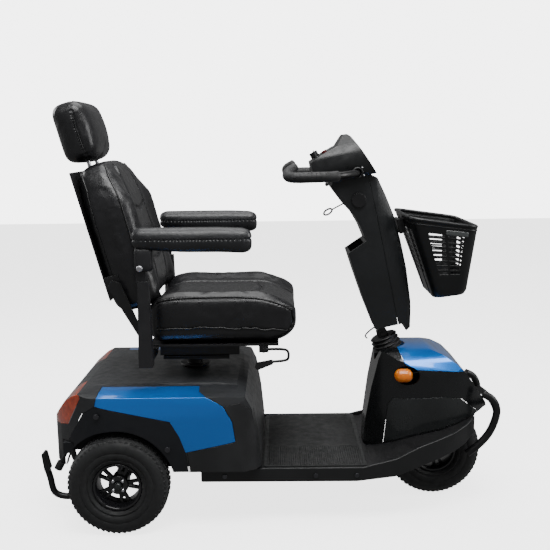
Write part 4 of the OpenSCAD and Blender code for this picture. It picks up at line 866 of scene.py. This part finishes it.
# ---- Basket ----

BASKET_LOW, BASKET_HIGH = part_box("basket")
BASKET_REAR = BASKET_HIGH.x - 0.250
BASKET_FRONT = BASKET_REAR + 0.200
BASKET_HALF = (BASKET_HIGH.y - BASKET_LOW.y) / 2
# points along the near side, the front, the far side and the rear
WALL_STEPS = (26, 32, 26, 32)
# the steps of a side wall and of an end wall that a slot leaves open
SIDE_SLOTS = ((1, 12), (14, 25))
END_SLOTS = ((2, 10), (12, 20), (22, 30))
SLOT_ROWS = 9
SLOT_FIRST = 0.17
SLOT_PITCH = 0.062


def basket_ring(down, grow=0.0):
    """The wall's outline at a share of the way down, as points that say which wall and step they are."""
    rear = BASKET_REAR + (0.088 * down) - grow
    front = BASKET_FRONT - 0.018 * down + grow
    low, top = BASKET_LOW.z, BASKET_HIGH.z
    rear_z = top + (low - top) * down
    front_z = top - 0.028 + (low + 0.014 - top + 0.028) * down
    half = BASKET_HALF - 0.056 * down + grow
    r = 0.034 - 0.006 * down
    corners = [(rear + r, -half + r, math.pi), (front - r, -half + r, 1.5 * math.pi),
               (front - r, half - r, 0.0), (rear + r, half - r, 0.5 * math.pi)]
    flat = []
    for wall, (cx, cy, start) in enumerate(corners):
        for k in range(5):
            a = start + (math.pi / 2) * k / 5
            flat.append((cx + r * math.cos(a), cy + r * math.sin(a), None))
        next_x, next_y, next_start = corners[(wall + 1) % 4]
        a = start + math.pi / 2
        bx, by = cx + r * math.cos(a), cy + r * math.sin(a)
        ex, ey = next_x + r * math.cos(next_start), next_y + r * math.sin(next_start)
        for k in range(WALL_STEPS[wall]):
            t = k / WALL_STEPS[wall]
            flat.append((bx + (ex - bx) * t, by + (ey - by) * t, (wall, k)))
    return [(Vector((x, y, rear_z + (front_z - rear_z) * (x - rear) / (front - rear))), tag)
            for x, y, tag in flat]


def is_slot(tag):
    """Whether a point of the wall starts a stretch that a slot leaves open."""
    if tag is None:
        return False
    wall, k = tag
    return any(first <= k < last for first, last in (SIDE_SLOTS if wall in (0, 2) else END_SLOTS))


def basket_walls():
    """Slotted walls and a dished foot."""
    levels = [0.0, 0.06, 0.14]
    for k in range(SLOT_ROWS):
        base = SLOT_FIRST + k * SLOT_PITCH
        levels += [base, base + 0.036]
    levels += [SLOT_FIRST + SLOT_ROWS * SLOT_PITCH + 0.02, 0.86, 0.95]
    slot_levels = range(3, 3 + 2 * SLOT_ROWS, 2)
    bm = bmesh.new()
    grid = [[(bm.verts.new(p), tag) for p, tag in basket_ring(v)] for v in levels]
    count = len(grid[0])
    for j in range(len(levels) - 1):
        for i in range(count):
            if j in slot_levels and is_slot(grid[0][i][1]):
                continue
            n = (i + 1) % count
            bm.faces.new((grid[j][i][0], grid[j][n][0], grid[j + 1][n][0], grid[j + 1][i][0]))
    last = [v for v, _ in grid[-1]]
    middle = (BASKET_REAR + BASKET_FRONT) / 2 + 0.03
    inner = [bm.verts.new(v.co + (Vector((middle, 0, v.co.z)) - v.co) * 0.08 + Vector((0, 0, -0.012)))
             for v in last]
    for i in range(count):
        n = (i + 1) % count
        bm.faces.new((last[i], last[n], inner[n], inner[i]))
    bm.faces.new(list(reversed(inner)))
    obj = new_piece("basket_moulding", bm, MATERIALS["basket_plastic"], "basket",
                    ["basket"])
    add_modifier(obj, "SOLIDIFY", thickness=0.0032, offset=1.0)
    add_modifier(obj, "BEVEL", width=0.0008, segments=2, limit_method="ANGLE", angle_limit=math.radians(50))


def basket_rim():
    """Rolled rim with a raised line below it."""
    bm = bmesh.new()
    sweep(bm, [p + Vector((0, 0, -0.004)) for p, _ in basket_ring(0.0, -0.001)], 0.0055, 10, closed=True)
    sweep(bm, [p for p, _ in basket_ring(0.075, 0.0015)], 0.0028, 8, closed=True)
    new_piece("basket_rim", bm, MATERIALS["basket_plastic"], "basket")


def basket_reflectors():
    """A long reflector near the top front of each side."""
    bm = bmesh.new()
    for s in (-1, 1):
        block = rounded_block((0.033, 0.004, 0.0085), 0.0039, 6)
        for v in block.verts:
            v.co = Vector((v.co.x, v.co.y, v.co.z - 0.11 * v.co.x))
        spot = (BASKET_FRONT - 0.062, s * (BASKET_HALF - 0.0055), BASKET_HIGH.z - 0.050)
        block.transform(Matrix.Translation(spot))
        add_block(bm, block)
    new_piece("basket_reflectors", bm, REFLECTOR, "basket")


def basket_rear_frame():
    """Two stays down the rear wall and the plate that hooks on the tiller's bracket."""
    bm = bmesh.new()
    drop = BASKET_LOW.z - BASKET_HIGH.z
    for s in (-1, 1):
        stay = [Vector((BASKET_REAR - 0.001 + 0.088 * v, s * (0.060 - 0.010 * v), BASKET_HIGH.z + drop * v))
                for v in np.linspace(0.04, 0.96, 14)]
        sweep(bm, stay, 0.0045, 8)
    box_at(bm, TILLER, (0.1235, -0.0235, 0.302), (0.1235 + 0.012, 0.0235, 0.340))
    new_piece("basket_rear_frame", bm, MATERIALS["bar_paint"], "basket")


basket_walls()
basket_rim()
basket_reflectors()
basket_rear_frame()


# ---- Floor mat, lamps and trim ----

def mat_badge():
    """Plain raised oval on the floor mat."""
    low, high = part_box("floor_mat")
    bm = bmesh.new()
    centre = Vector(((low.x + high.x) / 2 + 0.01, -0.125, high.z - 0.0006))
    for scale in (1.0, 0.62):
        ring = [centre + Vector((0.045 * scale * math.cos(a), 0.034 * scale * math.sin(a), 0))
                for a in (2 * math.pi * k / 48 for k in range(48))]
        sweep(bm, ring, 0.0012, 8, closed=True)
    new_piece("mat_oval", bm, MATERIALS["mat_rubber"], "chassis")


mat_badge()


body_of = {node: body for body, names in record["behaviour"]["bodies"].items() for node in names}


def moulded(name, width, angle=34):
    """The CAD part's own form with its facets blended and its edges rounded as a tool leaves them."""
    bm = bmesh.new()
    bm.from_mesh(nodes[name].data)
    bmesh.ops.remove_doubles(bm, verts=bm.verts[:], dist=0.00002)
    bmesh.ops.dissolve_limit(bm, angle_limit=math.radians(0.6), verts=bm.verts[:], edges=bm.edges[:])
    for edge in bm.edges:
        edge.smooth = len(edge.link_faces) == 2 and edge.calc_face_angle() < math.radians(angle)
    obj = new_piece(name + "_moulded", bm, MATERIALS[slot_of[name]], body_of[name], [name])
    add_modifier(obj, "BEVEL", width=width * MM, segments=3, limit_method="ANGLE",
                 angle_limit=math.radians(angle), harden_normals=True, use_clamp_overlap=True)


# how far each part's edges are rounded, in mm
for cad_name, edge in (("tiller_rear_cover", 6), ("tiller_front_cover", 6), ("console_housing", 4),
                       ("rear_top_cover", 5), ("front_cover", 4), ("front_hood", 2.5),
                       ("front_side_panels", 0.8), ("rear_side_panels", 1.2), ("rear_lower_skirts", 1.2),
                       ("wheel_arch_liners", 0.8),
                       ("side_bumpers", 3), ("arm_post_left", 4), ("arm_post_right", 4), ("floor_pan", 2),
                       ("rear_lamps", 2), ("anti_tip_arms", 2), ("charge_cap", 1.5), ("speed_knob", 1.5),
                       ("throttle_levers", 1), ("seat_swivel_plate", 1.5), ("front_bumper", 1),
                       ("front_fork", 1), ("seat_post", 1.5), ("backrest_frame", 2), ("seat_base_frame", 1),
                       ("swivel_lever", 1), ("slide_lever", 1), ("drive_release_lever", 1),
                       ("body_screws", 0.8), ("tiller_cable", 0.5), ("display_panel", 0.8),
                       ("ignition_key", 0.6), ("horn_button", 0.8), ("tiller_frame", 1)):
    moulded(cad_name, edge)


def indicators():
    """Domed oval indicator lenses, each sunk in the front cover's corner."""
    low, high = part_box("indicator_lenses")
    bm = bmesh.new()
    for s in (-1, 1):
        dome = rounded_block((0.028, 0.020, 0.021), 0.0195, 10)
        centre = Vector(((low.x + high.x) / 2 - 0.006, s * (high.y - 0.0215), (low.z + high.z) / 2))
        dome.transform(Matrix.Translation(centre))
        add_block(bm, dome)
    new_piece("indicator_domes", bm, MATERIALS["lamp_amber"], "chassis", ["indicator_lenses"])


indicators()


def mat_ribs():
    """Fine ribs running the length of the floor mat."""
    low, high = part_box("floor_mat")
    bm = bmesh.new()
    count = 56
    for k in range(count):
        y = low.y + 0.012 + (high.y - low.y - 0.024) * k / (count - 1)
        path = [Vector((x, y, high.z - 0.0003)) for x in np.linspace(low.x + 0.012, high.x - 0.012, 4)]
        sweep(bm, path, 0.0013, 6)
    new_piece("mat_ribs", bm, MATERIALS["mat_rubber"], "chassis")


mat_ribs()


# ---- Floor and light ----

def studio_sheet(name, place, noise_scale, low, high, glow):
    """A large flat sheet that isn't part of the scooter, and its shader for the rest of its look."""
    bm = bmesh.new()
    bmesh.ops.create_grid(bm, x_segments=2, y_segments=2, size=30)
    bm.transform(place)
    mesh = bpy.data.meshes.new(name)
    bm.to_mesh(mesh)
    bm.free()
    sheet = bpy.data.objects.new(name, mesh)
    bpy.context.scene.collection.objects.link(sheet)
    material, tree, shader, coordinates = new_material(name)
    colour = ramp(tree, noise(tree, coordinates, noise_scale), low, high)
    shader.inputs["Emission Strength"].default_value = glow
    mesh.materials.append(material)
    sheet.visible_glossy = False
    sheet.visible_diffuse = False
    return tree, shader, colour


def add_floor():
    """A pale floor with a little light of its own, so it stays pale under the scooter's shadow."""
    flat = Matrix.Identity(4)
    tree, shader, colour = studio_sheet("studio_floor", flat, 0.7, (0.90,) * 3, (0.93,) * 3, 2.8)
    tree.links.new(colour, shader.inputs["Base Color"])
    shader.inputs["Roughness"].default_value = 0.8
    shader.inputs["Emission Color"].default_value = (1, 1, 1, 1)


def add_backdrop():
    """A lit white wall far behind the scooter."""
    wall = Matrix.Translation((0, 9, 0)) @ Matrix.Rotation(math.pi / 2, 4, "X")
    tree, shader, colour = studio_sheet("studio_backdrop", wall, 0.4, (0.97,) * 3, (1, 1, 1), 5.0)
    tree.links.new(colour, shader.inputs["Emission Color"])


def add_light(name, place, target, size, power, colour=(1, 1, 1)):
    data = bpy.data.lights.new(name, "AREA")
    data.shape = "RECTANGLE"
    data.size, data.size_y = size
    data.energy = power
    data.color = colour
    lamp = bpy.data.objects.new(name, data)
    lamp.location = place
    lamp.rotation_mode = "QUATERNION"
    lamp.rotation_quaternion = (Vector(target) - Vector(place)).to_track_quat("-Z", "Y")
    bpy.context.scene.collection.objects.link(lamp)


def add_world():
    world = bpy.data.worlds.new("studio")
    bpy.context.scene.world = world
    world.use_nodes = True
    background = world.node_tree.nodes["Background"]
    background.inputs["Color"].default_value = (1, 1, 1, 1)
    background.inputs["Strength"].default_value = 0.22


def add_backdrop():
    """A lit white wall far behind the scooter."""
    bm = bmesh.new()
    bmesh.ops.create_grid(bm, x_segments=2, y_segments=2, size=30)
    bmesh.ops.rotate(bm, verts=bm.verts[:], cent=(0, 0, 0), matrix=Matrix.Rotation(math.pi / 2, 3, "X"))
    bmesh.ops.translate(bm, verts=bm.verts[:], vec=(0, 9, 0))
    mesh = bpy.data.meshes.new("studio_backdrop")
    bm.to_mesh(mesh)
    bm.free()
    backdrop = bpy.data.objects.new("studio_backdrop", mesh)
    bpy.context.scene.collection.objects.link(backdrop)
    material, tree, shader, place = new_material("studio_backdrop")
    tree.links.new(ramp(tree, noise(tree, place, 0.4), (0.97, 0.97, 0.97), (1, 1, 1)),
                   shader.inputs["Emission Color"])
    shader.inputs["Emission Strength"].default_value = 5.0
    mesh.materials.append(material)
    backdrop.visible_glossy = False
    backdrop.visible_diffuse = False


add_floor()
add_backdrop()
add_world()
add_light("key", (0.2, -1.6, 3.4), (0, 0, 0.5), (3.0, 1.2), 110)
add_light("top", (0, 0.6, 3.4), (0, 0, 0.5), (2.4, 2.4), 60)
add_light("rear_edge", (-2.6, 1.0, 2.0), (-0.2, 0, 0.7), (1.4, 1.4), 35)
add_light("front_edge", (2.8, -0.4, 1.8), (0.3, 0, 0.6), (1.2, 1.6), 35)
